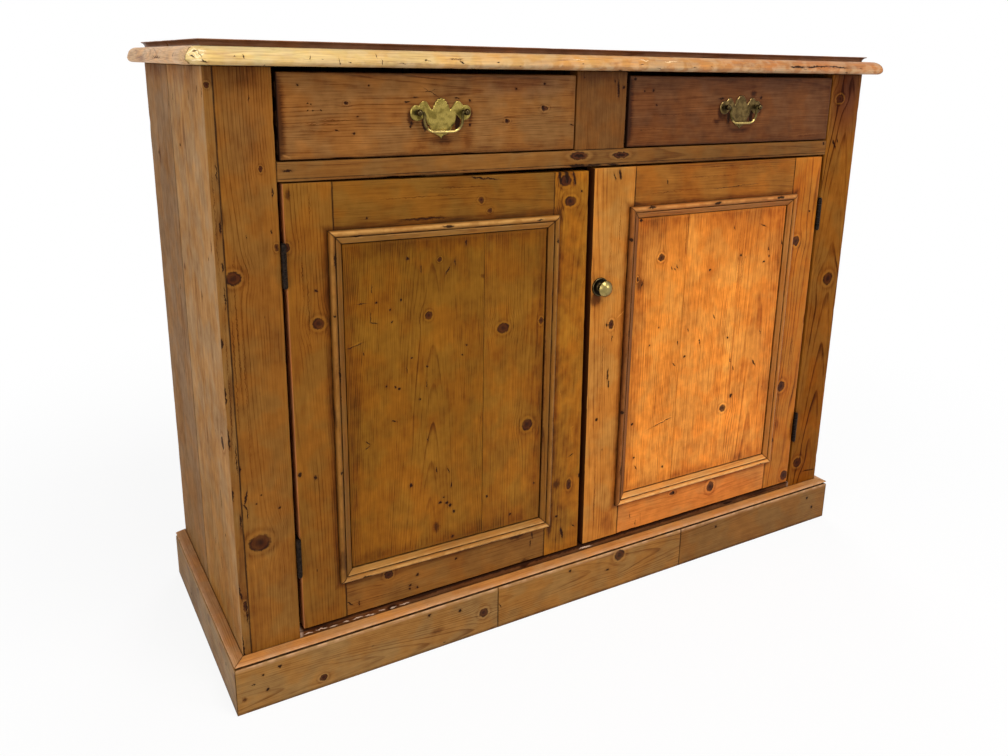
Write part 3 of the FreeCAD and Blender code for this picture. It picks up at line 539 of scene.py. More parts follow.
@dataclass(frozen=True)
class Pine:
    """Old waxed pine on one board."""

    tone: Colour                        # the middle tone, as a screen shows it
    ring: float = 2.6                   # between year rings
    heart: Point = (25.0, 70.0)         # pith, from the board's middle: across it and into it
    taper: float = 0.012                # how fast the rings close in along the board
    lines: float = 0.46                 # how strongly the late wood shows
    grit: float = 0.62                  # of the fine fibres
    streaks: float = 0.18
    mottle: float = 0.42
    clouds: float = 0.55
    ticks: float = 0.10                 # share of small cells that hold a tick or worm hole
    polish: float = 0.42                # roughness of the wax
    gloss: float = 0.10
    bare: Colour | None = None          # where it is rubbed or broken, if that isn't its pale shade
    near_black: Colour = linear(30, 13, 6)
    knot_tone: Colour = linear(68, 29, 9)
    wax: Colour = linear(255, 232, 205)

    def like(self, tone: Colour, heart: Point | None = None, **changes: object) -> "Pine":
        """The same pine in another tone, cut elsewhere from the tree."""
        return replace(self, tone=tone, heart=heart or self.heart, **changes)

    def shades(self) -> tuple[Colour, Colour, Colour, Colour]:
        """Pale, middle, ripe and dark shade of the board, in linear light.

        Returns:
            The four colours.
        """
        middle = linear(*self.tone)
        factors = ((1.42, 1.5, 1.66), (1, 1, 1), (0.62, 0.49, 0.42), (0.24, 0.17, 0.13))
        return tuple(tuple(min(c * f, 0.95) for c, f in zip(middle, row)) for row in factors)

    def late_wood(self, wood: Wood, bent: Socket, pith: float, depth: float) -> Socket:
        """Dark lines of the year rings.

        Args:
            wood: The board's wood.
            bent: Place across the fibres, pushed aside by knots.
            pith: Place of the pith across the board.
            depth: Place of the pith into the board.

        Returns:
            How much late wood a point shows.
        """
        sway, ripple = wood.cloud(110, 520, 1), wood.cloud(18, 150, 2)
        bent = bent + (sway - 0.5) * 40 + (ripple - 0.5) * 4.5 - pith
        away = wood.tree.node("ShaderNodeCombineXYZ", None, {0: bent, 1: wood.inward - depth})
        year = (away.length() + wood.along * self.taper) / self.ring
        season = year.fraction()
        strength = wood.tree.node(
            "ShaderNodeTexWhiteNoise", {"noise_dimensions": "1D"}, {"W": year.whole()}, "Value",
        )
        shown = wood.cloud(36, 230, 1).ease(0.36, 0.64)
        line = season.ease(0.6, 0.9) * (1 - season.ease(0.92, 1.0))
        return line * (0.3 + strength * 0.7) * (0.25 + shown * 0.75)

    def colour(self, wood: Wood, stains: StainsAndShade, depth: Socket) -> Socket:
        """Colour of the wood, rubbed edges, scratches and knots, before the dirt and the painted shade.

        Args:
            wood: The board's wood.
            stains: What its marks do.
            depth: How dark the wood is.

        Returns:
            The colour.
        """
        tree, spots = wood.tree, wood.spots
        light, middle, ripe, dark = self.shades()
        stops = [(0.08, light), (0.43, middle), (0.74, ripe), (1.0, dark)]
        colour = tree.node("ShaderNodeValToRGB", {"stops": stops}, {0: depth})
        colour = colour * tree.blend(wood.hue, (1.05, 0.98, 0.84), (0.95, 1.02, 1.16))
        if stains.tint:
            colour = colour * stains.tint
        bare = linear(*self.bare) if self.bare else light
        edge = tree.point_value("worn") * (0.4 + spots.ease(0.40, 0.62) * 0.6)
        colour = tree.blend(edge * (0.6 if self.bare else 0.25), colour, bare)
        if stains.pale:
            colour = tree.blend(stains.pale * 0.9, colour, bare)
        if stains.core:
            colour = tree.blend(stains.collar * 0.3, colour, light)
            colour = tree.blend(stains.core * (0.6 + spots * 0.6), colour, self.knot_tone)
            colour = tree.blend(stains.heart * (0.3 + wood.fibre), colour, self.near_black)
            colour = tree.blend(stains.rim * spots.ease(0.3, 0.62) * 0.9, colour, self.near_black)
        return colour

    def material(
        self, name: str, lie: Lie, marks: Sequence[Mark] = (), dirt_and_shade: DirtAndShade | None = None,
    ) -> bpy.types.Material:
        """Make the material of one board.

        Args:
            name: Name of the board.
            lie: How the board lies.
            marks: Knots, holes and stains on its face.
            dirt_and_shade: Where old wax has gathered and where shade is painted.

        Returns:
            The material.
        """
        made, tree = new_material(name)
        wood = Wood(tree, name, lie)
        upright = lie.grain is Grain.UPRIGHT
        stains = StainsAndShade(wood.across, dirt_and_shade.depth(wood.level, wood.upright) if dirt_and_shade else 0.0)
        for mark in marks:
            stains.take(mark, wood.flat, wood.across, mark.level if upright else mark.upright)
        centre = [lie.middle[i] for i in lie.face.value]
        pith = centre[0 if upright else 1] + self.heart[0]
        late = self.late_wood(wood, stains.bent, pith, centre[2] + self.heart[1])
        fibre, spots, patch, black = wood.fibre, wood.spots, wood.patch, stains.black
        depth = (
            0.43 + late * self.lines + (fibre - 0.5) * self.grit + (wood.streak - 0.5) * self.streaks
            + (spots - 0.5) * self.mottle + (patch - 0.5) * self.clouds + stains.halo
        )
        tick = wood.ticks(self.ticks)
        # soil darkens joints with dirt, and quirks, creases and the plinth's foot with painted shade
        soil = tree.point_value("soil") * (0.55 + spots.ease(0.3, 0.6) * 0.45)
        colour = self.colour(wood, stains, depth)
        colour = tree.blend((soil * 0.9).most(tick * 0.7).most(black * 0.96), colour, self.near_black)
        rough = self.polish + (patch - 0.5) * 0.3 + soil * 0.25 + black * 0.3 + (fibre - 0.5) * 0.12
        height = fibre * 0.08 + spots * 0.12 + patch * 0.3 - black * 0.9 - tick * 0.3
        tree.finish(height, {
            "Base Color": colour, "Roughness": rough,
            "Specular IOR Level": self.gloss, "Specular Tint": self.wax,
        })
        return made


@dataclass(frozen=True)
class Metal:
    """Brass or iron that has been handled and has gone dull in its corners, darkened where its mesh holds
    soil and painted shade.
    """

    bright: Colour
    dull: Colour
    grime_and_shade: Colour
    shine: float                        # roughness where it is rubbed
    metallic: float = 1.0
    spots: float = 9.0                  # size of a dull patch
    gloss: float = 0.5

    def material(self, name: str) -> bpy.types.Material:
        """Make the material of one fitting.

        Args:
            name: Name of the fitting.

        Returns:
            The material.
        """
        made, tree = new_material(name)
        place = tree.node("ShaderNodeTexCoord", None, None, "Object") * 1000.0 + tuple(seed_of(name))
        patch = tree.cloud(place, (self.spots,) * 3, 4)
        speck = tree.cloud(place, (1.3, 1.3, 1.3), 2)
        brushed = tree.cloud(place, (0.5, 6, 6), 1)
        worn = tree.point_value("worn")
        soil = tree.point_value("soil")
        tarnish = (patch.ease(0.34, 0.62) * 0.85 + (speck - 0.5) * 0.7) * (1 - worn * 0.9)
        colour = tree.blend(tarnish, linear(*self.bright), linear(*self.dull))
        # grime_and_shade: dirt in the corners and painted shade, such as round the plate's foot, behind the
        # balls and on the bail's arms
        colour = tree.blend(soil * 0.85, colour, linear(*self.grime_and_shade))
        rough = self.shine + tarnish * 0.22 + (brushed - 0.5) * 0.2 + soil * 0.25
        tree.finish(patch * 0.25 + speck * 0.05 + brushed * 0.02, {
            "Base Color": colour, "Roughness": rough,
            "Metallic": self.metallic, "Specular IOR Level": self.gloss,
        })
        return made


BRASS = Metal((176, 152, 90), (108, 90, 42), (30, 24, 12), 0.24)
# Near black, so that the balls show the dark room that they would mirror: painted reflection.
DARK_BRASS = Metal((74, 61, 36), (32, 26, 15), (10, 8, 5), 0.16)
IRON = Metal((40, 29, 21), (9, 6, 4), (4, 3, 2), 0.34, 0.2, 3.0, 0.08)


@dataclass(frozen=True)
class Wear:
    """How far edges have been rubbed down and nicked."""

    rub: float = 0.45
    nick: float = 1.4
    length: float = 17.0                # of one rub or nick
    sag: float = 0.25                   # hollows in the faces


UNWORN = Wear(0, 0, sag=0)


@dataclass(frozen=True)
class Spot:
    """A point of a section, with how worn it is and how much soil and painted shade darken it."""

    out: float
    up: float
    worn: float = 0.0
    soil: float = 0.0


def arc(
    centre: Point, radius: float, start: float, end: float, steps: int, worn: float = 0.0, soil: float = 0.0,
) -> list[Spot]:
    """Points of an arc in a section, from one angle to another in degrees.

    Args:
        centre: Centre in the section.
        radius: Radius in millimetres.
        start: First angle.
        end: Last angle.
        steps: Number of steps between them.
        worn: Wear of the points.
        soil: Soil and painted shade of the points.

    Returns:
        The points, with both ends.
    """
    x, y = centre
    turns = [math.radians(start + (end - start) * i / steps) for i in range(steps + 1)]
    return [Spot(x + radius * math.cos(t), y + radius * math.sin(t), worn, soil) for t in turns]


Side = tuple[int, int]                  # a direction's number and the end of it, -1 or 1


def plank_section(
    out: Point, up: Point, radius: float, joints: Sequence[Side] = (), dirt_and_shade: float = 1.0,
) -> list[Spot]:
    """Section of a board with rounded arrises.

    Args:
        out: Lowest and highest value across the section.
        up: Lowest and highest value up the section.
        radius: Rounding of its free arrises.
        joints: Sides that meet another board, whose arrises are sharp and hold dirt.
        dirt_and_shade: How much dirt and painted shade they hold.

    Returns:
        The points of the section.
    """
    arcs, shoulders = [], []
    for place, (across, rise) in enumerate(((1, 1), (-1, 1), (-1, -1), (1, -1))):
        tight = (0, across) in joints or (1, rise) in joints
        r = min(radius, 0.45) if tight else radius
        centre = (out[across > 0] - across * r, up[rise > 0] - rise * r)
        arcs.append(arc(centre, r, 90 * place, 90 * place + 90, 3, 0.0 if tight else 1.0, tight * dirt_and_shade))
        shoulders.append(1.3 if tight else 5.0)
    points: list[Spot] = []
    for i, here in enumerate(arcs):
        points += here
        first, last = here[-1], arcs[(i + 1) % 4][0]
        run = math.hypot(last.out - first.out, last.up - first.up)
        near, far = (min(shoulders[j % 4], run / 3) for j in (i, i + 1))
        bays = max(1, round((run - near - far) / 45))
        for j in range(bays + 1):
            share = (near + (run - near - far) * j / bays) / run
            points.append(Spot(
                first.out + (last.out - first.out) * share, first.up + (last.up - first.up) * share,
            ))
    return points


class Shape:
    """A mesh under way, with how worn each vertex is and how much soil and painted shade darken it."""

    def __init__(self) -> None:
        """Start with nothing."""
        self.points: list[Vector] = []
        self.faces: list[tuple[int, ...]] = []
        self.worn: list[float] = []
        self.soil: list[float] = []

    def ring(self, points: Sequence[Vector], worn: Sequence[float], soil: Sequence[float]) -> range:
        """Add a closed ring of vertices and give their numbers.

        Args:
            points: Places of the vertices.
            worn: Wear of each.
            soil: Soil and painted shade of each.

        Returns:
            The numbers of the vertices.
        """
        first = len(self.points)
        self.points += points
        self.worn += worn
        self.soil += soil
        return range(first, len(self.points))

    def skin(self, rings: Sequence[range], closed: bool = True) -> "Shape":
        """Join rings of the same count into a skin.

        Args:
            rings: The rings, in order.
            closed: Whether flat ends close the skin.

        Returns:
            This shape.
        """
        for one, two in zip(rings, rings[1:]):
            for i in range(len(one)):
                j = (i + 1) % len(one)
                self.faces.append((one[i], one[j], two[j], two[i]))
        if closed:
            self.faces.append(tuple(reversed(rings[0])))
            self.faces.append(tuple(rings[-1]))
        return self

    def join(self, other: "Shape") -> "Shape":
        """Take in another shape and give this one.

        Args:
            other: Shape to take in.

        Returns:
            This shape.
        """
        first = len(self.points)
        self.ring(other.points, other.worn, other.soil)
        self.faces += [tuple(first + i for i in face) for face in other.faces]
        return self

    def moved(self, change: Callable[[Vector], Vector]) -> "Shape":
        """Move every vertex and give this shape."""
        self.points = [change(point) for point in self.points]
        return self

    def mesh(self, name: str) -> bpy.types.Mesh:
        """Write the mesh in metres.

        Args:
            name: Name of the mesh.

        Returns:
            The mesh, smooth, with its faces turned outward.
        """
        made = bpy.data.meshes.new(name)
        made.from_pydata([point * METRES for point in self.points], [], self.faces)
        for key, values in (("worn", self.worn), ("soil", self.soil)):
            made.attributes.new(key, "FLOAT", "POINT").data.foreach_set("value", values)
        work = bmesh.new()
        work.from_mesh(made)
        bmesh.ops.recalc_face_normals(work, faces=work.faces)
        work.to_mesh(made)
        work.free()
        made.shade_smooth()
        return made


@dataclass
class Sweep:
    """A section carried along a straight run."""

    section: Sequence[Spot]
    origin: Triple
    along: Triple
    out: Triple
    up: Triple
    start: float
    end: float
    lean: Point = (0.0, 0.0)            # how far each end runs on for each millimetre outward
    ends: float = 0.9                   # rounding of square ends
    soiled: tuple[bool, bool] = (False, False)
    wear: Wear = Wear()
    step: float = 11.0

    def near(self, soiled: bool) -> list[tuple[float, float, float]]:
        """Rings close to an end: distance from it, inset of the section and closeness.

        Args:
            soiled: Whether the end gathers dirt.

        Returns:
            A row for each ring, from the end inward.
        """
        r = min(self.ends, 0.4) if soiled else self.ends
        reach = 1.4 if soiled else 4.5
        return [(0.0, r, 1.0), (0.3 * r, 0.286 * r, 1.0), (r, 0.0, 1.0), (r + reach, 0.0, 0.0)]

    def stations(self) -> list[tuple[float, float, float]]:
        """Distance along the run, inset of the section and closeness to an end, for each ring.

        Returns:
            A row for each ring, from the start of the run.
        """
        run = self.end - self.start
        first, last = (self.near(soiled) for soiled in self.soiled)
        free = run - first[-1][0] - last[-1][0]
        count = max(1, round(free / self.step))
        middle = [(first[-1][0] + free * i / count, 0.0, 0.0) for i in range(1, count)]
        return first + middle + [(run - place, inset, close) for place, inset, close in reversed(last)]

    def inward(self) -> list[Vector]:
        """Direction into the section at each of its points.

        Returns:
            A direction for each point.
        """
        count = len(self.section)
        ways = []
        for i in range(count):
            before, after = self.section[i - 1], self.section[(i + 1) % count]
            way = Vector((-(after.up - before.up), after.out - before.out))
            ways.append(way.normalized() if way.length > 1e-9 else way)
        area = sum(
            a.out * b.up - b.out * a.up for a, b in zip(self.section, [*self.section[1:], self.section[0]])
        )
        return [way if area > 0 else -way for way in ways]

    def shape(self, name: str) -> Shape:
        """Build the swept mesh.

        Args:
            name: Name of the piece, which sets its wear.

        Returns:
            The closed mesh.
        """
        made = Shape()
        seed = seed_of(name)
        origin, along, out, up = (Vector(v) for v in (self.origin, self.along, self.out, self.up))
        ways = self.inward()
        run = self.end - self.start
        rings = []
        for place, inset, close in self.stations():
            share = place / run
            points, worn, soil = [], [], []
            for spot, way in zip(self.section, ways):
                first = self.start + self.lean[0] * spot.out
                last = self.end + self.lean[1] * spot.out
                here = origin + along * (first + (last - first) * share) + out * spot.out + up * spot.up
                rubbed = 0.5 + 0.5 * noise.noise(here / self.wear.length + seed)
                nicked = max(0.0, noise.noise(here / (self.wear.length * 0.45) - seed) - 0.42) / 0.4
                hollow = 0.5 + 0.5 * noise.noise(here / 130 + seed)
                depth = inset + self.wear.sag * hollow
                depth += max(spot.worn, 0.0) * (self.wear.rub * rubbed + self.wear.nick * min(nicked, 1.0))
                points.append(here + (out * way.x + up * way.y) * depth)
                ending = close * self.soiled[0 if share < 0.5 else 1]
                worn.append(max(spot.worn, close * (self.ends > 0.3)) * (1 - ending))
                soil.append(max(spot.soil, ending))
            rings.append(made.ring(points, worn, soil))
        return made.skin(rings)


AXES: tuple[Triple, Triple, Triple] = ((1.0, 0.0, 0.0), (0.0, 1.0, 0.0), (0.0, 0.0, 1.0))


@dataclass(frozen=True)
class Plank:
    """A board between two corners."""

    low: Triple
    high: Triple
    face: Face = Face.FRONT
    grain: Grain = Grain.UPRIGHT
    radius: float = 1.3
    soiled: tuple[bool, bool] = (False, False)
    wear: Wear = Wear()
    joints: tuple[Side, ...] = ()       # sides that meet another board
    dirt_and_shade: float = 1.0                   # how much dirt and painted shade these hold

    def shape(self, name: str) -> Shape:
        """Sweep the board along its fibres.

        Args:
            name: Name of the piece, which seeds its wear.

        Returns:
            The board's shape.
        """
        run = self.grain.axis(self.face)
        out, up = (run + 1) % 3, (run + 2) % 3
        joints = [((out, up).index(axis), sign) for axis, sign in self.joints]
        section = plank_section(
            (self.low[out], self.high[out]), (self.low[up], self.high[up]), self.radius, joints, self.dirt_and_shade,
        )
        sweep = Sweep(
            section, (0, 0, 0), AXES[run], AXES[out], AXES[up], self.low[run], self.high[run],
            soiled=self.soiled, wear=self.wear, ends=min(self.radius, 0.9),
        )
        return sweep.shape(name)

    def lie(self) -> Lie:
        """How the board lies."""
        middle = tuple((a + b) / 2 for a, b in zip(self.low, self.high))
        return Lie(self.face, self.grain, middle)


def turned(
    outline: Sequence[tuple[float, float, float, float]], middle: Triple, axis: Triple, sides: int = 48,
) -> Shape:
    """Turn an outline about a line.

    Args:
        outline: Radius, height, wear, and soil and painted shade of each point.
        middle: The point at height 0 on the line.
        axis: Direction of the line.
        sides: Number of points round the line.

    Returns:
        The turned mesh.
    """
    made = Shape()
    way = Vector(axis)
    across = way.orthogonal().normalized()
    other = way.cross(across)
    turns = [2 * math.pi * i / sides for i in range(sides)]
    rings = []
    for radius, height, worn, soil in outline:
        foot = Vector(middle) + way * height
        points = [foot + (across * math.cos(t) + other * math.sin(t)) * radius for t in turns]
        rings.append(made.ring(points, [worn] * sides, [soil] * sides))
    return made.skin(rings)


@dataclass
class SubAssembly:
    """Pieces that belong together; build() makes their meshes and dress() their finishes."""

    body: str = field(init=False, default="carcass")
    pieces: dict[str, bpy.types.Object] = field(init=False, default_factory=dict)

    def add(
        self, name: str, shape: Shape, node: str, slot: str = "waxed_pine", body: str | None = None,
    ) -> None:
        """Make an object that stands for a CAD node, or a part of one, and rides on a body.

        Args:
            name: Name of the piece.
            shape: Its mesh.
            node: The CAD node that it stands for.
            slot: Not used.
            body: The body it rides on, where it isn't the sub-assembly's own.
        """
        made = bpy.data.objects.new(name, shape.mesh(name))
        bpy.context.scene.collection.objects.link(made)
        made.modifiers.new("even_faces", "WEIGHTED_NORMAL").mode = "FACE_AREA"
        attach(made, body or self.body)
        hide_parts(node)
        self.pieces[name] = made

    def keep(self, node: str, bevel: float) -> None:
        """Keep a CAD node and soften its edges.

        Args:
            node: The node.
            bevel: Width of the softened edge.
        """
        kept = frame["nodes"][node]
        kept.modifiers.new("one_skin", "WELD").merge_threshold = 0.01 * METRES
        soft = kept.modifiers.new("soft_edges", "BEVEL")
        soft.width = bevel * METRES
        soft.segments = 2
        soft.limit_method = "ANGLE"
        kept.modifiers.new("even_faces", "WEIGHTED_NORMAL").mode = "FACE_AREA"
        self.pieces[node] = kept

    def paint(self, name: str, material: bpy.types.Material) -> None:
        """Give a piece its material."""
        self.pieces[name].data.materials.clear()
        self.pieces[name].data.materials.append(material)

    def paint_side(self, name: str, material: bpy.types.Material, way: Triple) -> None:
        """Give the faces of a painted piece that look one way another material.

        Args:
            name: Name of the piece.
            material: The other material.
            way: The way that these faces look.
        """
        mesh = self.pieces[name].data
        mesh.materials.append(material)
        for face in mesh.polygons:
            face.material_index = int(face.normal.dot(Vector(way)) > 0.6)

    def build(self) -> None:
        """Make the meshes."""
        raise NotImplementedError

    def dress(self) -> None:
        """Give the pieces their finishes."""
        raise NotImplementedError


FRONT = -188.0
BACK = 212.0
HALF_WIDTH = 579.0
CARCASS_HEIGHT = 882.0
FRAME_BACK = -166.0
OPENING_LEFT = -496.5
OPENING_RIGHT = 503.0
RAIL_UNDER = 741.0
RAIL_TOP = 766.5
DOOR_FOOT = 95.0


def moulding(tone: Colour, bare: Colour) -> Pine:
    """Finish of a length of door moulding; each length's tone and the bare colour of its worn crest are set
    as painted light and shade.
    """
    return Pine(tone, 1.8, (3, 30), polish=0.34, bare=bare)


# The sides are toned pale and grey with almost no gloss: painted sheen of the white floor and walls at a
# glancing angle.
SHEEN_GREYED = Pine(
    (166, 124, 78), lines=0.3, grit=0.6, streaks=0.4, mottle=0.5, clouds=0.5, ticks=0.24,
    polish=0.62, gloss=0.02,
)
HONEY = Pine((130, 83, 28), lines=0.42)
UMBER = Pine((138, 92, 62), 3.2, (20, 60), clouds=0.6, polish=0.4)
CREAM = Pine(
    (180, 130, 64), 1.7, (-12, 40), lines=0.4, grit=0.9, mottle=0.4, clouds=0.3, ticks=0.5, polish=0.34,
    bare=(250, 226, 180),
)
KICKED = Pine(
    (146, 102, 52), 2.3, taper=0.03, lines=0.5, mottle=0.35, clouds=0.3, ticks=0.08, bare=(220, 172, 130),
)
HANDLED = Pine(
    (123, 80, 37), 2.1, (30, 45), lines=0.44, grit=0.8, streaks=0.3, mottle=0.6, clouds=0.5, ticks=0.2,
)
DRY = Pine((186, 140, 92), clouds=0.45, ticks=0.08, polish=0.62)
PLAIN = Pine((196, 160, 112), clouds=0.35, ticks=0.06, polish=0.6)
SHADE = Pine((34, 18, 9), clouds=0.3)
PLINTH_SIDE = KICKED.like((134, 98, 49), gloss=0.02, streaks=0.5, clouds=0.5, bare=(176, 130, 84))
PLINTH_CAP = KICKED.like((172, 118, 66), lines=0.3)

PINES: dict[str, Pine] = {
    "side_left_front_board": SHEEN_GREYED,
    "side_left_back_board": SHEEN_GREYED.like((142, 105, 68), (-60, 55)),
    "side_right_front_board": SHEEN_GREYED.like((150, 104, 60), (10, 80)),
    "side_right_back_board": SHEEN_GREYED.like((146, 100, 58), (70, 60)),
    "side_left_front_edge": HONEY.like((120, 80, 35), (-3, 20), streaks=0.4, clouds=0.7),
    "stile_left": HONEY.like((122, 77, 26), (-52, 45), ring=2.8, grit=0.6),
    "stile_right": HONEY.like((126, 77, 24), (4, 30), lines=0.85, ring=5.0, taper=0.05, gloss=0.02),
    "drawer_muntin": HONEY.like((100, 61, 24), (-60, 40), lines=0.6, ring=2.0, mottle=0.6),
    "drawer_rail": HONEY.like((116, 76, 33), (4, 30), lines=0.3, ring=2.0),
    "top_front_board": UMBER,
    "top_back_board": replace(UMBER, heart=(-70, 60)),
    "nosing_front": CREAM,
    "nosing_left": CREAM.like((210, 163, 110), gloss=0.03, bare=None),
    "nosing_right": CREAM.like((160, 108, 64), bare=None),
    "plinth_front_left": KICKED.like((139, 99, 51), (-20, 32)),
    "plinth_front_middle": KICKED.like((140, 96, 44), (10, 32)),
    "plinth_front_right": KICKED.like((122, 81, 34), (40, 32)),
    "plinth_left": PLINTH_SIDE,
    "plinth_right": PLINTH_SIDE,
    "plinth_cap_front": KICKED.like((180, 122, 66), ring=1.9, lines=0.3),
    "plinth_cap_left": PLINTH_CAP,
    "plinth_cap_right": PLINTH_CAP,
    "door_left_left_stile": Pine((122, 76, 21), 2.4, (-40, 50), lines=0.4),
    # light tone: painted light on the edge in the hinge gap
    "door_left_left_stile_edge": Pine((168, 104, 60), clouds=0.4),
    "door_left_right_stile": Pine((140, 85, 17), heart=(30, 60), mottle=0.8, clouds=0.9),
    "door_left_top_rail": Pine((113, 71, 19), heart=(-20, 40), lines=0.26),
    "door_left_bottom_rail": Pine((124, 79, 30), heart=(30, 45)),
    "door_left_panel_left": Pine((122, 76, 14), 3.0, (20, 26), 0.05, grit=0.75, mottle=0.55, polish=0.38),
    "door_left_panel_right": Pine(
        (127, 79, 16), 2.9, (60, 70), lines=0.44, grit=0.75, mottle=0.55, polish=0.38,
    ),
    # Lighter on the foot and head, darker on the sides: painted light from above and painted shade.
    "door_left_moulding_left": moulding((112, 70, 22), (158, 108, 50)),
    "door_left_moulding_right": moulding((112, 70, 22), (158, 108, 50)),
    "door_left_moulding_head": moulding((132, 86, 33), (206, 152, 84)),
    "door_left_moulding_foot": moulding((146, 96, 40), (226, 172, 102)),
    # The right door's boards are toned brighter and more orange than the left door's: painted light from the
    # front right.
    "door_right_left_stile": Pine((177, 113, 44), 3.0, (-50, 50), lines=0.5),
    # near black: painted shade on the edge in the gap between the doors
    "door_right_left_stile_edge": Pine((66, 34, 12), clouds=0.4),
    "door_right_right_stile": Pine((167, 97, 27), 3.8, (30, 45), lines=0.65),
    "door_right_top_rail": Pine((138, 83, 26), heart=(-20, 40), lines=0.5),
    "door_right_bottom_rail": Pine((190, 113, 47), heart=(20, 45), lines=0.3),
    "door_right_panel_left": Pine(
        (208, 127, 46), 3.0, (-110, 90), grit=0.8, mottle=0.6, clouds=0.7, polish=0.36,
    ),
    "door_right_panel_right": Pine(
        (212, 128, 46), 2.7, (60, 80), lines=0.5, grit=0.8, mottle=0.6, clouds=0.7, polish=0.36,
    ),
    # Darkest on the left and lightest on the foot: painted shade and painted light from above and the right.
    "door_right_moulding_left": moulding((118, 68, 26), (150, 92, 42)),
    "door_right_moulding_right": moulding((148, 90, 36), (200, 132, 68)),
    "door_right_moulding_head": moulding((146, 88, 36), (206, 140, 76)),
    "door_right_moulding_foot": moulding((198, 128, 60), (250, 196, 122)),
    "drawer_left_front": HANDLED,
    "drawer_right_front": HANDLED.like((94, 55, 27)),
    # dark tone: painted shadow line under the doors
    "floor_nose": DRY.like((96, 58, 30), bare=(226, 194, 166), mottle=0.6),
    "bottom_rail": DRY.like((120, 80, 48)),
    "drawer_guides": DRY.like((74, 50, 30)),
    "drawer_runners": DRY.like((110, 78, 48)),
}

FLECKS = [
    split(
        -580 + 11.7 * i, 886 + 6 * math.sin(i * 2.7), 6 + 5 * math.sin(i * 1.9), 0.9,
        84 + 12 * math.sin(i * 3.3),
    )
    for i in range(0, 99, 3)
]
SPLINTERS = [
    scratch(-594 + 1.9 * i, 893 + 6 * math.sin(i * 2.1), 11, 1.6, 70 + 50 * math.sin(i * 1.3))
    for i in range(8)
] + [
    split(-592 + 4.3 * i, 892 + 6 * math.sin(i * 1.4), 7, 1.0, 60 + 40 * math.sin(i * 2.2))
    for i in range(4)
]
CHIPS = [
    scratch(-484 + 19 * i, 85.4 + math.sin(i * 2.3), 15 + 5 * math.sin(i * 1.7), 2.2, 88)
    for i in range(9)
]
PLINTH_SIDE_MARKS = [smudge(60, 40, 90, 30, 0.16), hole(-150, 50), hole(100, 22)]

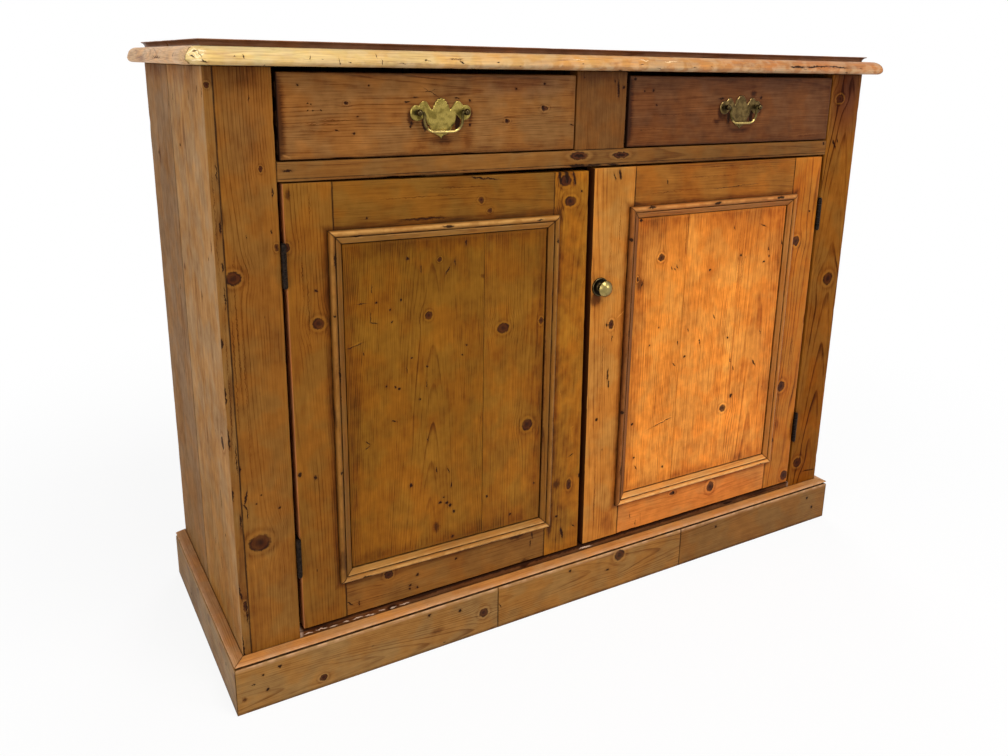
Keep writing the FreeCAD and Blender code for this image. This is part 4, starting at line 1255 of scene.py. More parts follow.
MARKS: dict[str, list[Mark]] = {
    "side_left_front_board": [
        hole(-24, 777, 2.6), split(-181, 852, 15, 2.4, 8), split(0.7, 838, 13, 2.4, 4),
        split(-103, 845, 13, 2.2, 6), split(-156, 854, 9, 2.0, 6), split(-174, 665, 18, 2.6, 5),
        split(-151, 644, 6, 4, 3), split(-93, 582, 17, 3.4), smudge(15, 601, 9, 7, 0.4),
        knot(-155, 393, 8, 1.1), split(-117, 293, 32, 2.6, -6), split(-90, 178, 23, 3),
        split(-55, 194, 14, 2.4), split(-77, 197, 14, 2.4, 6), hole(-129, 242, 2.4),
        # the smudge along the top is painted shade under the nosing
        wash(-60, 120, 190, 330, (0.78, 0.66, 0.38)), smudge(-60, 876, 140, 26, 0.22),
    ],
    "side_left_back_board": [
        smudge(141, 748, 10, 18, 0.45), split(36, 830, 15, 2.4, 3), hole(150, 751, 2.6),
        # the smudge along the top is painted shade under the nosing
        wash(120, 110, 150, 300, (0.86, 0.76, 0.52)), smudge(120, 876, 120, 22, 0.22), split(90, 420, 22, 2),
        split(120, 250, 18, 2), split(60, 560, 14, 2),
    ],
    "stile_left": [
        knot(-558, 624, 9.5, 0.92), knot(-516.3, 758.8, 2.8, 1.39), split(-502.7, 729, 11, 2.2, -3),
        split(-506.9, 680, 6, 1.6, 3), knot(-501.3, 659, 2.9, 1.6), split(-525.3, 844, 6, 1.5, 3),
        # the smudge at the top and the grey wash over the top are painted shade under the nosing
        split(-538.5, 676, 5, 0.9, 3), smudge(-534, 874, 40, 26, 0.24), knot(-546, 251, 14.5, 0.83),
        smudge(-544, 247, 24, 19, 0.22), split(-560.6, 323, 22, 3.1, -11), split(-562, 307.7, 10, 2.1, 29),
        split(-560, 297, 13, 1.7, -3), hole(-516.5, 296.7, 1.8), hole(-546.6, 310, 1.4),
        hole(-540.2, 320.8, 1.4), split(-565.9, 365, 9, 2, -4), vein(-563, 500, 240, 1.0),
        vein(-557, 560, 300, 0.8), vein(-551, 470, 260, 0.8), wash(-530, 820, 60, 130, (0.95, 0.98, 1.3)),
        wash(-535, 190, 60, 260, (1.14, 1.2, 1.36)),
    ],
    "stile_right": [
        split(505.5, 224, 37, 5, 2), split(505.5, 189, 26, 6, 7), knot(521.4, 130.5, 10.6, 0.92),
        split(558, 105.4, 36, 2.1, 85), knot(525.9, 839.5, 9.3, 0.73), split(523.6, 759.6, 20, 3.9, 33),
        # the smudge at the top and the dark wash over the top are painted shade under the nosing
        split(531.3, 765.6, 8, 2.8, 20), knot(549, 506, 12, 1.0), smudge(540, 860, 40, 30, 0.2),
        wash(541, 200, 60, 330, (0.93, 0.74, 0.42)), wash(545, 850, 70, 130, (0.5, 0.42, 1.3)),
    ],
    "drawer_muntin": [
        split(29.7, 856.7, 28, 3.8, 5), hole(39.8, 858, 2.5), split(22.5, 867, 7, 1.7, 8),
        # the smudge along the top is painted shade under the nosing
        hole(-33, 872, 1.2), smudge(0, 876, 60, 12, 0.25),
    ],
    "side_left_front_edge": [
        knot(-574, 860, 3.4, 1.0), split(-569.6, 758, 20, 1.6), split(-569.4, 690, 16, 2.0),
        split(-570, 640, 12, 2.4), split(-577.5, 541, 14, 4.0), split(-569.6, 600, 30, 1.4),
        split(-577.8, 470, 26, 2.2), split(-577.6, 410, 30, 2.6), split(-577.8, 330, 22, 2.0),
        split(-569.5, 380, 44, 1.5), split(-569.6, 290, 22, 2.2), smudge(-574, 170, 6, 40, 0.2),
        knot(-571.5, 159, 3.2, 2.6), split(-577, 182, 24, 2.4, 8), split(-569.5, 150, 40, 1.8),
        split(-577.6, 90, 50, 2.4), vein(-575, 700, 260, 0.8), vein(-572.4, 480, 300, 0.8),
        smudge(-573, 872, 8, 22, 0.3), split(-570.5, 60, 40, 1.6),
    ],
    "drawer_rail": [
        knot(-37.4, 758.4, 16.5, 0.36), knot(40.1, 756.8, 15, 0.30), split(-38, 758.4, 20, 5, 90),
        split(40, 756.8, 18, 4, 90), scratch(-36, 758.6, 6, 1.8, 80), scratch(41, 757, 5, 1.6, 80),
        hole(496, 760.8, 2.6), split(-40.4, 743.6, 34, 5, 88), split(-10.3, 743, 33, 4, -88),
        split(26, 743, 24, 3, 90), split(-483, 755.5, 13, 3.4, 90), scratch(-484.5, 755.6, 4, 2, 70),
        scratch(-330, 742, 4, 2, 80), wash(300, 752, 330, 60, (0.78, 0.72, 0.64)),
        # the two long smudges along the lower edge are painted shade over the doors
        smudge(-250, 742.5, 250, 3, 0.35), smudge(250, 742.5, 250, 3, 0.35),
    ],
    "nosing_front": [
        split(-535, 893, 4, 1.2, 29), split(-418, 889, 8, 1, 13), split(-257, 894.6, 19, 1.2, -85),
        split(-249, 890.6, 8, 2, 57), split(-362, 889, 7, 1, 5), split(-369, 896, 5, 1, 12),
        split(-455, 892, 5, 1, 8), split(384, 892.8, 36, 3.5, 88), split(432, 893.9, 61, 2.5, -88),
        split(487, 893.7, 53, 2.1, 88), scratch(-60, 897, 26, 1.0, 88), scratch(60, 898, 20, 1.0, 86),
        scratch(110, 897, 30, 1.0, 92), *FLECKS, wash(160, 892, 620, 60, (1.02, 0.9, 0.6)),
        # the creamy wash at the left and the dark wash at the right are painted light falling off along the
        # front; the smudge along the lower round is painted shade
        wash(-560, 892, 460, 60, (1.22, 1.7, 2.5)), wash(560, 892, 800, 70, (0.73, 0.45, 0.25)),
        smudge(0, 884, 640, 6, 0.34), wash(-588, 893, 17, 14, (1.3, 1.4, 1.7)),
        *SPLINTERS,
    ],
    "nosing_left": [
        split(-40, 890, 60, 1.4, 90), smudge(90, 888, 60, 6, 0.3), split(-150, 893, 5, 2),
        split(40, 894, 6, 2),
    ],
    "plinth_front_left": [
        hole(-533, 59.6, 2.3), hole(-557.5, 54.4, 1.9), split(-571.8, 42.8, 8, 2.2, 83),
        hole(-552.5, 28.8, 2.3), smudge(-585, 24, 5, 4, 0.6), knot(-470.4, 16.9, 6), hole(-298.8, 63.9, 2.6),
        smudge(-285, 31, 14, 6, 0.3), hole(-245, 55, 2.6), knot(-202.6, 37.2, 7.8, 1.0),
    ],
    "plinth_front_middle": [
        hole(-36, 62.9, 2.5), split(43, 40.8, 9, 3.7, 89), knot(68.9, 62.5, 10.1, 0.95),
        split(-172, 40, 9, 2, 30),
    ],
    "plinth_front_right": [
        hole(296, 56.6, 3), hole(542.7, 54.4, 3.2), hole(559.3, 30.1, 3.4),
    ],
    "door_left_left_stile": [
        knot(-450.5, 551, 8.2, 0.96), knot(-489, 657.5, 4.5, 1.3), hole(-452, 596, 2.0),
        vein(-456, 710, 45, 1.0), smudge(-484, 725, 4, 9, 0.5), hole(-464, 329, 2.6), hole(-486, 338, 3.2),
        vein(-470, 620, 120, 0.8), vein(-463, 560, 160, 0.8), smudge(-430, 400, 6, 120, 0.2),
    ],
    "door_left_right_stile": [
        split(-70.7, 727.7, 24, 4.9, 10), split(-59, 728.5, 22, 7, 8), split(-44.8, 726, 24, 4.2, 11),
        knot(-60, 722, 9, 0.9), smudge(-58, 724, 20, 16, 0.5), knot(-50.4, 690.5, 10.1, 0.75),
        smudge(-50.3, 689, 15, 10, 0.2), scratch(-21, 565, 18, 1.8, -26), scratch(-32, 307.5, 26, 1.4, 11),
        smudge(-58.8, 222.7, 8, 12, 0.6), knot(-33.6, 216, 4.6, 2.0), split(-69.4, 191, 19, 3.8, 5),
        smudge(-70, 140.7, 6, 19, 0.5), split(-44.6, 128.6, 22, 4.9, 13), hole(-56.5, 162.6, 2.4),
        scratch(-31.5, 317.8, 11, 1.9, -43), split(-31.3, 268.8, 11, 1.9, -67),
        scratch(-22, 600, 30, 2.2, 4), scratch(-19, 538, 22, 2.0, -6), scratch(-26, 470, 44, 1.4, 3),
        scratch(-58, 380, 16, 1.6, 12), hole(-11.6, 227.5, 4.0), split(-21.4, 136.2, 10, 1.5, 40),
        hole(-30, 705, 2.0), wash(-47, 470, 34, 120, (1.12, 1.1, 1.0)),
        wash(-47, 150, 40, 80, (0.9, 0.94, 1.2)),
    ],
    "door_left_top_rail": [
        knot(-205, 701.8, 4.9, 0.9), knot(-190.5, 685.8, 3.7, 0.88), smudge(-297, 681.5, 44, 2.4, 0.6),
        split(-296, 681.8, 70, 1.0, 88), hole(-378, 688, 1.7), split(-211, 733.6, 24, 2.2, 81),
        split(-191, 731.5, 25, 1.8, 83), vein(-300, 712, 180, 0.8, 90), vein(-240, 722, 120, 0.8, 89),
    ],
    "door_left_bottom_rail": [
        split(-103.5, 139.7, 14, 2.4, 10), split(-106.5, 127, 10, 2.4, -4), smudge(-134, 146, 14, 4, 0.9),
        smudge(-116, 96, 9, 5, 0.9), hole(-243.8, 137.6, 2.2), knot(-358, 144.3, 6.9, 0.95),
        hole(-310.6, 129.9, 2.6), hole(-323.4, 114.7, 2.1), hole(-324.3, 109.7, 1.7), hole(-310.9, 108, 2.1),
        split(-419.6, 114, 13, 2, 46), split(-406, 111.8, 9, 2, 4),
    ],
    "door_left_panel_left": [
        hole(-320, 627, 2.2), knot(-270.3, 621.3, 3.5, 0.92), split(-299.3, 611, 11, 1.9, -2),
        split(-257.9, 603.5, 15, 2.7, -31), split(-245.7, 614.5, 10, 1.9, -4), split(-228.5, 641.8, 8, 1.9),
        split(-374, 590, 11, 1.1), split(-376.7, 549.8, 21, 1.1), split(-388, 570.7, 15, 1.1, 87),
        hole(-367.8, 569.4, 1.8), hole(-347.7, 557.6, 1.5), hole(-345.4, 539, 1.8), hole(-331, 568.6, 1.5),
        split(-371.6, 540.7, 9, 1.4, 75), knot(-288, 541, 5.1, 1.18), split(-401, 511.8, 24, 1.4, -75),
        scratch(-398.4, 514.8, 24, 1.1, -73), split(-388, 498.8, 7, 1.5, -2), hole(-314.5, 481.4, 1.5),
        split(-323, 464.6, 10, 1.1, 13), hole(-291.7, 465, 1.2), hole(-233.8, 473.4, 1.2),
        hole(-227.6, 488, 1.6), hole(-354.4, 445.4, 1.5), hole(-341.5, 441.6, 1.5), hole(-335.3, 438, 1.9),
        split(-292, 436.4, 12, 1.2), hole(-303, 416, 1.2), split(-291, 350.6, 6, 1.6),
        split(-385, 364, 9, 1.5, 54), split(-344, 390, 7, 1.5, 79), vein(-202, 366, 30, 0.8, -5),
        hole(-319, 282, 2.8), split(-277, 298, 8, 1.7, 6), split(-257, 293, 10, 1.7, 20),
        split(-252.3, 266.8, 10, 2.1), hole(-271.5, 242, 2.5), hole(-259.6, 239, 2.6),
        hole(-254.5, 232.7, 3), hole(-248, 221, 2.6), hole(-265, 249.7, 1.7), smudge(-278, 202, 7, 10, 0.6),
        split(-386, 357, 8, 1.5, -63), hole(-250, 178.6, 2.2), smudge(-199.3, 590, 6, 4, 0.4),
        # the pale wash low on the panel is painted sheen, the dark wash high on it painted shade
        wash(-300, 250, 140, 170, (1.22, 1.19, 1.26)), wash(-310, 650, 190, 130, (0.78, 0.76, 0.68)),
    ],
    "door_left_panel_right": [
        knot(-164.8, 505.6, 9.6, 0.81), smudge(-164.8, 505.6, 15, 12, 0.2), knot(-97, 508.4, 4.1, 1.41),
        knot(-118.2, 339.7, 9.3, 1.05), smudge(-117, 338.7, 14, 15, 0.15), hole(-190, 232.4, 1.8),
        # the pale wash low on the panel is painted sheen, the dark wash high on it painted shade
        hole(-102.5, 234, 1.9), hole(-146.4, 190.4, 1.8), wash(-130, 300, 90, 200, (1.18, 1.17, 1.24)),
        wash(-120, 640, 120, 130, (0.78, 0.76, 0.68)),
    ],
    "door_left_moulding_head": [
        split(-260.8, 669, 19, 3.3, 87), split(-108.4, 667, 10, 2.9, -90), split(-395, 666, 13, 3.4, -86),
    ],
    "door_left_moulding_right": [
        split(-75.5, 632.7, 10, 2.1, 2), split(-72.3, 340, 10, 2.3, 2), split(-69.4, 414, 13, 1.8, 2),
        # the long smudge along the inner edge is painted shadow beside the panel
        scratch(-73.4, 364, 22, 1.4, 3), smudge(-90, 410, 2, 260, 0.4),
    ],
    "door_left_moulding_left": [
        split(-426, 636.5, 24, 3.7, -2), split(-425, 474, 26, 2.9), smudge(-434, 412, 4, 22, 0.5),
        smudge(-430, 190, 7, 26, 0.75), hole(-428, 330, 2.2), hole(-430, 560, 1.8),
    ],
    "door_left_moulding_foot": [
        split(-394, 155, 18, 4.4, 86), split(-235, 152, 27, 3.9, -89), smudge(-170, 153, 30, 3, 0.5),
    ],
    "door_right_left_stile": [
        split(42, 726.6, 18, 4.8, 14), split(32, 723, 12, 2.4, 25), knot(38.3, 483.8, 5.1, 1.5),
        hole(29.7, 484, 2.3), split(41, 460.4, 9, 2.4, 3), split(36, 399, 22, 2.9, 1),
        scratch(55, 497.7, 19, 1.9, -53), hole(17, 322, 2.6), split(38.4, 380.5, 15, 2.9, 7),
        smudge(52, 122, 20, 30, 0.25), vein(21, 197, 204, 1.0, 1), vein(30, 600, 150, 0.9),
        # the smudge below and left of the knob is its painted shadow
        vein(24, 420, 240, 0.8), vein(46, 640, 120, 0.8), smudge(4, 529, 15, 14, 0.6),
        wash(35, 710, 60, 110, (0.74, 0.78, 0.84)),
    ],
    "door_right_top_rail": [
        split(138.5, 710, 7, 2.3, 22), split(288, 695.5, 110, 0.9, -88), vein(143, 693.8, 120, 0.9, -89),
        # the long smudge along the top edge is painted shade under the drawer rail
        vein(230, 715, 200, 0.9, 90), vein(330, 726, 180, 0.8, 90), smudge(250, 735, 180, 6, 0.25),
    ],
    "door_right_right_stile": [
        knot(450.3, 587.4, 8.6, 1.03), knot(452, 304.7, 9, 1.13), split(443, 196.3, 12, 4.4, 3),
        smudge(451, 226.5, 6, 15, 0.4), smudge(484, 108, 13, 18, 0.45), knot(486, 111, 9, 1.1),
        smudge(494, 214, 6, 35, 0.5), vein(462, 470, 160, 0.9), vein(470, 380, 200, 0.9), hole(478, 640, 2),
    ],
    "door_right_bottom_rail": [
        knot(289, 134, 8.2, 1.24), smudge(289, 130.5, 17, 14, 0.2), hole(199.7, 142.7, 3),
        smudge(199.9, 141, 10, 6, 0.35), split(100.8, 121, 11, 1.4, 4), split(114, 105.4, 11, 1.4, 4),
        vein(125, 112, 31, 1.0, 4), knot(196, 143, 6, 0.6), wash(300, 130, 120, 40, (1.05, 0.98, 0.95)),
    ],
    "door_right_panel_left": [
        knot(136, 585.7, 6.4, 0.95), split(160, 565, 7, 2.4, 23), split(166.6, 562.8, 7, 2.5, 45),
        split(171, 566.6, 7, 2, 31), hole(88.5, 650.9, 3.0), smudge(93.7, 543.7, 9, 19, 0.3),
        knot(87.8, 553.6, 2.6, 1.63), split(98, 545.8, 9, 1.9, -21), split(184, 431, 8, 2.1, 9),
        split(179, 391.8, 11, 2.1, 44), hole(94, 297.8, 2.6), split(159.6, 288, 47, 1.8, -75),
        scratch(166.7, 291, 48, 3.1, -77), vein(186.7, 612.6, 90, 1.2, 2), hole(139.6, 464.6, 1.8),
        hole(121.9, 435, 1.8), split(107.6, 213.7, 8, 2.4, 36), hole(169, 202, 2.4), hole(102, 233, 1.9),
        # the dark wash high on the panel is painted shade, the pale wash low on it painted light
        wash(130, 660, 130, 150, (0.68, 0.63, 0.62)), wash(140, 240, 90, 130, (1.1, 1.08, 1.06)),
    ],
    "door_right_panel_right": [
        hole(245.7, 554, 2.4), split(366, 622, 16, 2.1, 69), split(295.5, 623.7, 6, 2.1, 18),
        hole(316.8, 573, 2.4), split(383, 579, 7, 2.2, 18), hole(386, 565, 2.0), hole(374, 556, 2.2),
        split(415.6, 587.5, 9, 2.2, 24), split(264.7, 467, 9, 2.6, 21), split(206, 451, 8, 2.1, 14),
        hole(202, 403, 2.1), split(234.6, 425, 12, 2.6, 11), hole(301, 423.8, 2.2),
        split(373, 365, 17, 3.2, 38), split(312.8, 379, 9, 2.2, 14), split(321, 362.5, 8, 2.2, 16),
        hole(322, 309, 3.6), knot(304, 288, 7.6, 0.95), vein(313, 560, 170, 1.2, 1),
        vein(321, 540, 200, 1.0, 1), split(382, 423, 8, 1.7, 17),
        # the dark wash high on the panel is painted shade, the pale wash low on it painted light
        wash(330, 660, 180, 140, (0.7, 0.65, 0.64)), wash(300, 240, 130, 130, (1.1, 1.08, 1.06)),
        wash(300, 400, 70, 240, (1.08, 1.1, 1.12)), wash(303, 400, 13, 330, (1.12, 1.24, 1.4)),
        wash(316, 420, 5, 260, (0.8, 0.72, 0.66)), wash(390, 420, 40, 260, (0.9, 0.86, 0.84)),
    ],
    "door_right_moulding_head": [
        split(103.8, 672, 19, 4.1, -85), split(245, 670, 18, 4.4, -84), split(393.5, 671, 21, 4.8, -85),
    ],
    "door_right_moulding_left": [
        # the long smudge along the outer side is painted shade on the bead's shaded side
        hole(66, 622.7, 3.2), split(71.6, 464, 15, 3.3, 4), hole(66, 327, 3), smudge(66, 410, 5, 260, 0.35),
        split(68, 220, 18, 2),
    ],
    "door_right_moulding_foot": [
        split(260, 151.5, 60, 3.0, -88), split(410, 155.5, 21, 2.4, 88),
    ],
    "drawer_left_front": [
        hole(-465, 860, 1.6), knot(-402.6, 837.6, 3.2, 0.7), hole(-403, 837.4, 1.8), hole(-371.5, 860, 1.3),
        hole(-453, 838, 1.0), hole(-448.5, 837, 1.0), hole(-446.6, 829, 1.0), hole(-436, 830, 1.0),
        hole(-453, 829.7, 1.0), hole(-388, 821, 1.3), split(-416, 803.8, 7, 1.6, 89), hole(-393.6, 800, 1.8),
        split(-318, 838.8, 8, 2.4, -88), split(-305.6, 845, 8, 2, -85), hole(-311.8, 811, 2.1),
        hole(-313.7, 806.5, 2.1), split(-243.4, 843, 8, 2.1, 85), hole(-224, 840.8, 2.2),
        hole(-224.7, 807, 1.8), split(-284.6, 852, 23, 1.0, 63), split(-284.6, 852.8, 15, 1.0, -80),
        hole(-151, 856, 1.9), hole(-103.4, 863, 1.9), knot(-102, 828.3, 5.6, 0.62), hole(-104.8, 829, 3.1),
        knot(-164, 812, 4.1, 0.76), hole(-164.7, 813, 2.6), split(-52.7, 804, 8, 2, 84),
        smudge(-298, 785, 10, 13, 0.24), smudge(-225.7, 788, 9, 16, 0.24),
        # the smudge near the top and the grey wash along the top are painted shade under the nosing
        smudge(-144.5, 864.5, 91, 14, 0.2), vein(-440.7, 812, 85, 0.8, 89), vein(-418, 816.6, 60, 0.8, 90),
        vein(-448, 804, 60, 0.8, 88), scratch(-483, 773, 14, 3, 70),
        wash(-100, 810, 90, 60, (0.9, 0.92, 0.94)), wash(-140, 862, 140, 26, (0.9, 0.9, 1.15)),
    ],
    "drawer_right_front": [
        hole(97.8, 853.7, 2.4), hole(105.5, 831.7, 1.8), hole(61, 871, 2.0), hole(80.6, 852.5, 1.7),
        smudge(311.8, 848.5, 9, 7, 0.7), hole(330, 841.5, 2.6), split(239.8, 840.7, 14, 3, -87),
        smudge(232.7, 804.8, 10, 6, 0.6), smudge(245.8, 810.6, 9, 8, 0.4), vein(150.6, 816.6, 134, 0.9, 90),
        vein(106, 794, 80, 0.9, 90), scratch(452, 778.7, 101, 2.2, -88),
        # the second wash, along the top, is painted shade under the nosing
        wash(120, 785, 140, 22, (1.15, 1.12, 0.95)), wash(300, 866, 260, 24, (0.88, 0.86, 1.0)),
    ],
    "floor_nose": [
        smudge(-352, 86, 14, 5, 0.9), smudge(-470, 90, 30, 3, 0.5), smudge(-300, 90, 40, 3, 0.4),
        split(340, 87, 26, 5, 88), smudge(420, 88, 60, 4, 0.5), scratch(8, 87, 30, 4, 88),
        # the long smudge along the top edge is painted shadow under the doors
        smudge(-116, 88, 10, 5, 0.7), smudge(200, 90, 60, 3, 0.4), smudge(0, 92, 560, 4, 0.8),
        *CHIPS,
    ],
    "plinth_left": PLINTH_SIDE_MARKS,
    "plinth_right": PLINTH_SIDE_MARKS,
}


def pine_of(
    name: str, lie: Lie, marks: Sequence[Mark] = (), dirt_and_shade: DirtAndShade | None = None,
) -> bpy.types.Material:
    """Make the material of a board, with its own finish and its own marks before those given."""
    return PINES.get(name, DRY).material(name, lie, [*MARKS.get(name, ()), *marks], dirt_and_shade)


def round_case(
    section: Sequence[Spot], foot: float, wear: Wear, trim: float, ends: float,
) -> dict[str, Sweep]:
    """Front, left and right run of a section round the case, mitred at the front corners.

    Args:
        section: The section, outward from the case.
        foot: Height of its foot.
        wear: How worn it is.
        trim: How far each mitre is cut back.
        ends: Rounding of the ends.

    Returns:
        The runs, by side.
    """
    half, shared = HALF_WIDTH, {"ends": ends, "wear": wear}
    front = {"start": trim - half, "end": half - trim, "lean": (-1, 1), "soiled": (True, True), **shared}
    side = {"start": FRONT + trim, "end": BACK, "lean": (-1, 0), "soiled": (True, False), **shared}
    return {
        "front": Sweep(section, (0, FRONT, foot), AXES[0], (0, -1, 0), AXES[2], **front),
        "left": Sweep(section, (-half, 0, foot), AXES[1], (-1, 0, 0), AXES[2], **side),
        "right": Sweep(section, (half, 0, foot), AXES[1], (1, 0, 0), AXES[2], **side),
    }


@dataclass
class Carcass(SubAssembly):
    """Sides, stiles, drawer rail and muntin of the case."""

    side_thickness: float = 12.0
    side_joint: float = 29.0
    joint_gap: float = 0.15
    muntin_half: float = 46.0
    rail_back: float = -118.0
    mortise: tuple[float, float, float, float] = (-53.1, -41.1, -165.0, -153.0)
    mortise_top: float = 750.0
    bead_place: float = 745.0
    bead_half: float = 1.1
    bead_depth: float = 1.1

    def planks(self) -> dict[str, Plank]:
        """Lay out the upright boards.

        Returns:
            The boards, by name.
        """
        def upright(x: Point, y: Point, foot: float, face: Face, *joints: Side) -> Plank:
            """A board from a foot up to the top."""
            low, high = (x[0], y[0], foot), (x[1], y[1], CARCASS_HEIGHT)
            return Plank(low, high, face, soiled=(True, True), joints=joints)

        inner = HALF_WIDTH - self.side_thickness
        left, right = (-HALF_WIDTH, -inner), (inner, HALF_WIDTH)
        near, far = self.side_joint - self.joint_gap, self.side_joint + self.joint_gap
        side, front, deep = Face.SIDE, Face.FRONT, (FRONT, FRAME_BACK)
        return {
            "side_left_front_board": upright(left, (FRONT, near), 0, side, (0, 1), (1, 1)),
            "side_left_back_board": upright(left, (far, BACK), 0, side, (0, 1), (1, -1)),
            "side_right_front_board": upright(right, (FRAME_BACK, near), 0, side, (1, 1), (1, -1)),
            "side_right_back_board": upright(right, (far, BACK), 0, side, (1, -1)),
            "stile_left": upright((-inner, OPENING_LEFT), deep, 0, front, (0, -1)),
            "stile_right": upright((OPENING_RIGHT, HALF_WIDTH), deep, 0, front),
            "drawer_muntin": upright((-self.muntin_half, self.muntin_half), deep, RAIL_TOP, front),
        }

    def rail(self, name: str) -> Shape:
        """Drawer rail with a scratched bead line, open where the bolt goes in.

        Args:
            name: Name of the rail.

        Returns:
            The mesh of the rail.
        """
        x0, x1, y0, y1 = self.mortise
        section = plank_section((FRONT, y0), (RAIL_UNDER, RAIL_TOP), 1.2)
        front = [spot for spot in section if spot.out < FRONT + 0.01 and spot.worn == 0]
        bead, half = self.bead_place, self.bead_half
        groove = [
            Spot(FRONT, bead + half, 0.3), Spot(FRONT + self.bead_depth, bead, 0, 1),
            Spot(FRONT, bead - half, 0.3),
        ]
        first = section.index(front[0])
        section = section[:first + 1] + groove + section[first + len(front):]
        made = Sweep(
            section, (0, 0, 0), *AXES, OPENING_LEFT, OPENING_RIGHT, soiled=(True, True),
            wear=Wear(0.6, 2.4, 14.0),
        ).shape(name)
        blocks = [
            ((OPENING_LEFT, y0, RAIL_UNDER), (x0, self.rail_back, RAIL_TOP)),
            ((x1, y0, RAIL_UNDER), (OPENING_RIGHT, self.rail_back, RAIL_TOP)),
            ((x0, y1, RAIL_UNDER), (x1, self.rail_back, RAIL_TOP)),
            ((x0, y0, self.mortise_top), (x1, y1, RAIL_TOP)),
        ]
        for low, high in blocks:
            made.join(Plank(low, high, Face.FRONT, Grain.LEVEL, 0.2, wear=UNWORN).shape(name))
        return made

    def build(self) -> None:
        """Make the boards and the rail."""
        for name, plank in self.planks().items():
            self.add(name, plank.shape(name), name)
        self.add("drawer_rail", self.rail("drawer_rail"), "drawer_rail")

    def dress(self) -> None:
        """Give each board its own pine and marks."""
        for name, plank in self.planks().items():
            self.paint(name, pine_of(name, plank.lie()))
        place = (self.side_thickness / 2 - HALF_WIDTH, FRONT, CARCASS_HEIGHT / 2)
        edge = pine_of("side_left_front_edge", Lie(Face.FRONT, Grain.UPRIGHT, place))
        self.paint_side("side_left_front_board", edge, (0, -1, 0))
        middle = ((OPENING_LEFT + OPENING_RIGHT) / 2, FRONT, (RAIL_UNDER + RAIL_TOP) / 2)
        self.paint("drawer_rail", pine_of("drawer_rail", Lie(Face.FRONT, Grain.LEVEL, middle)))


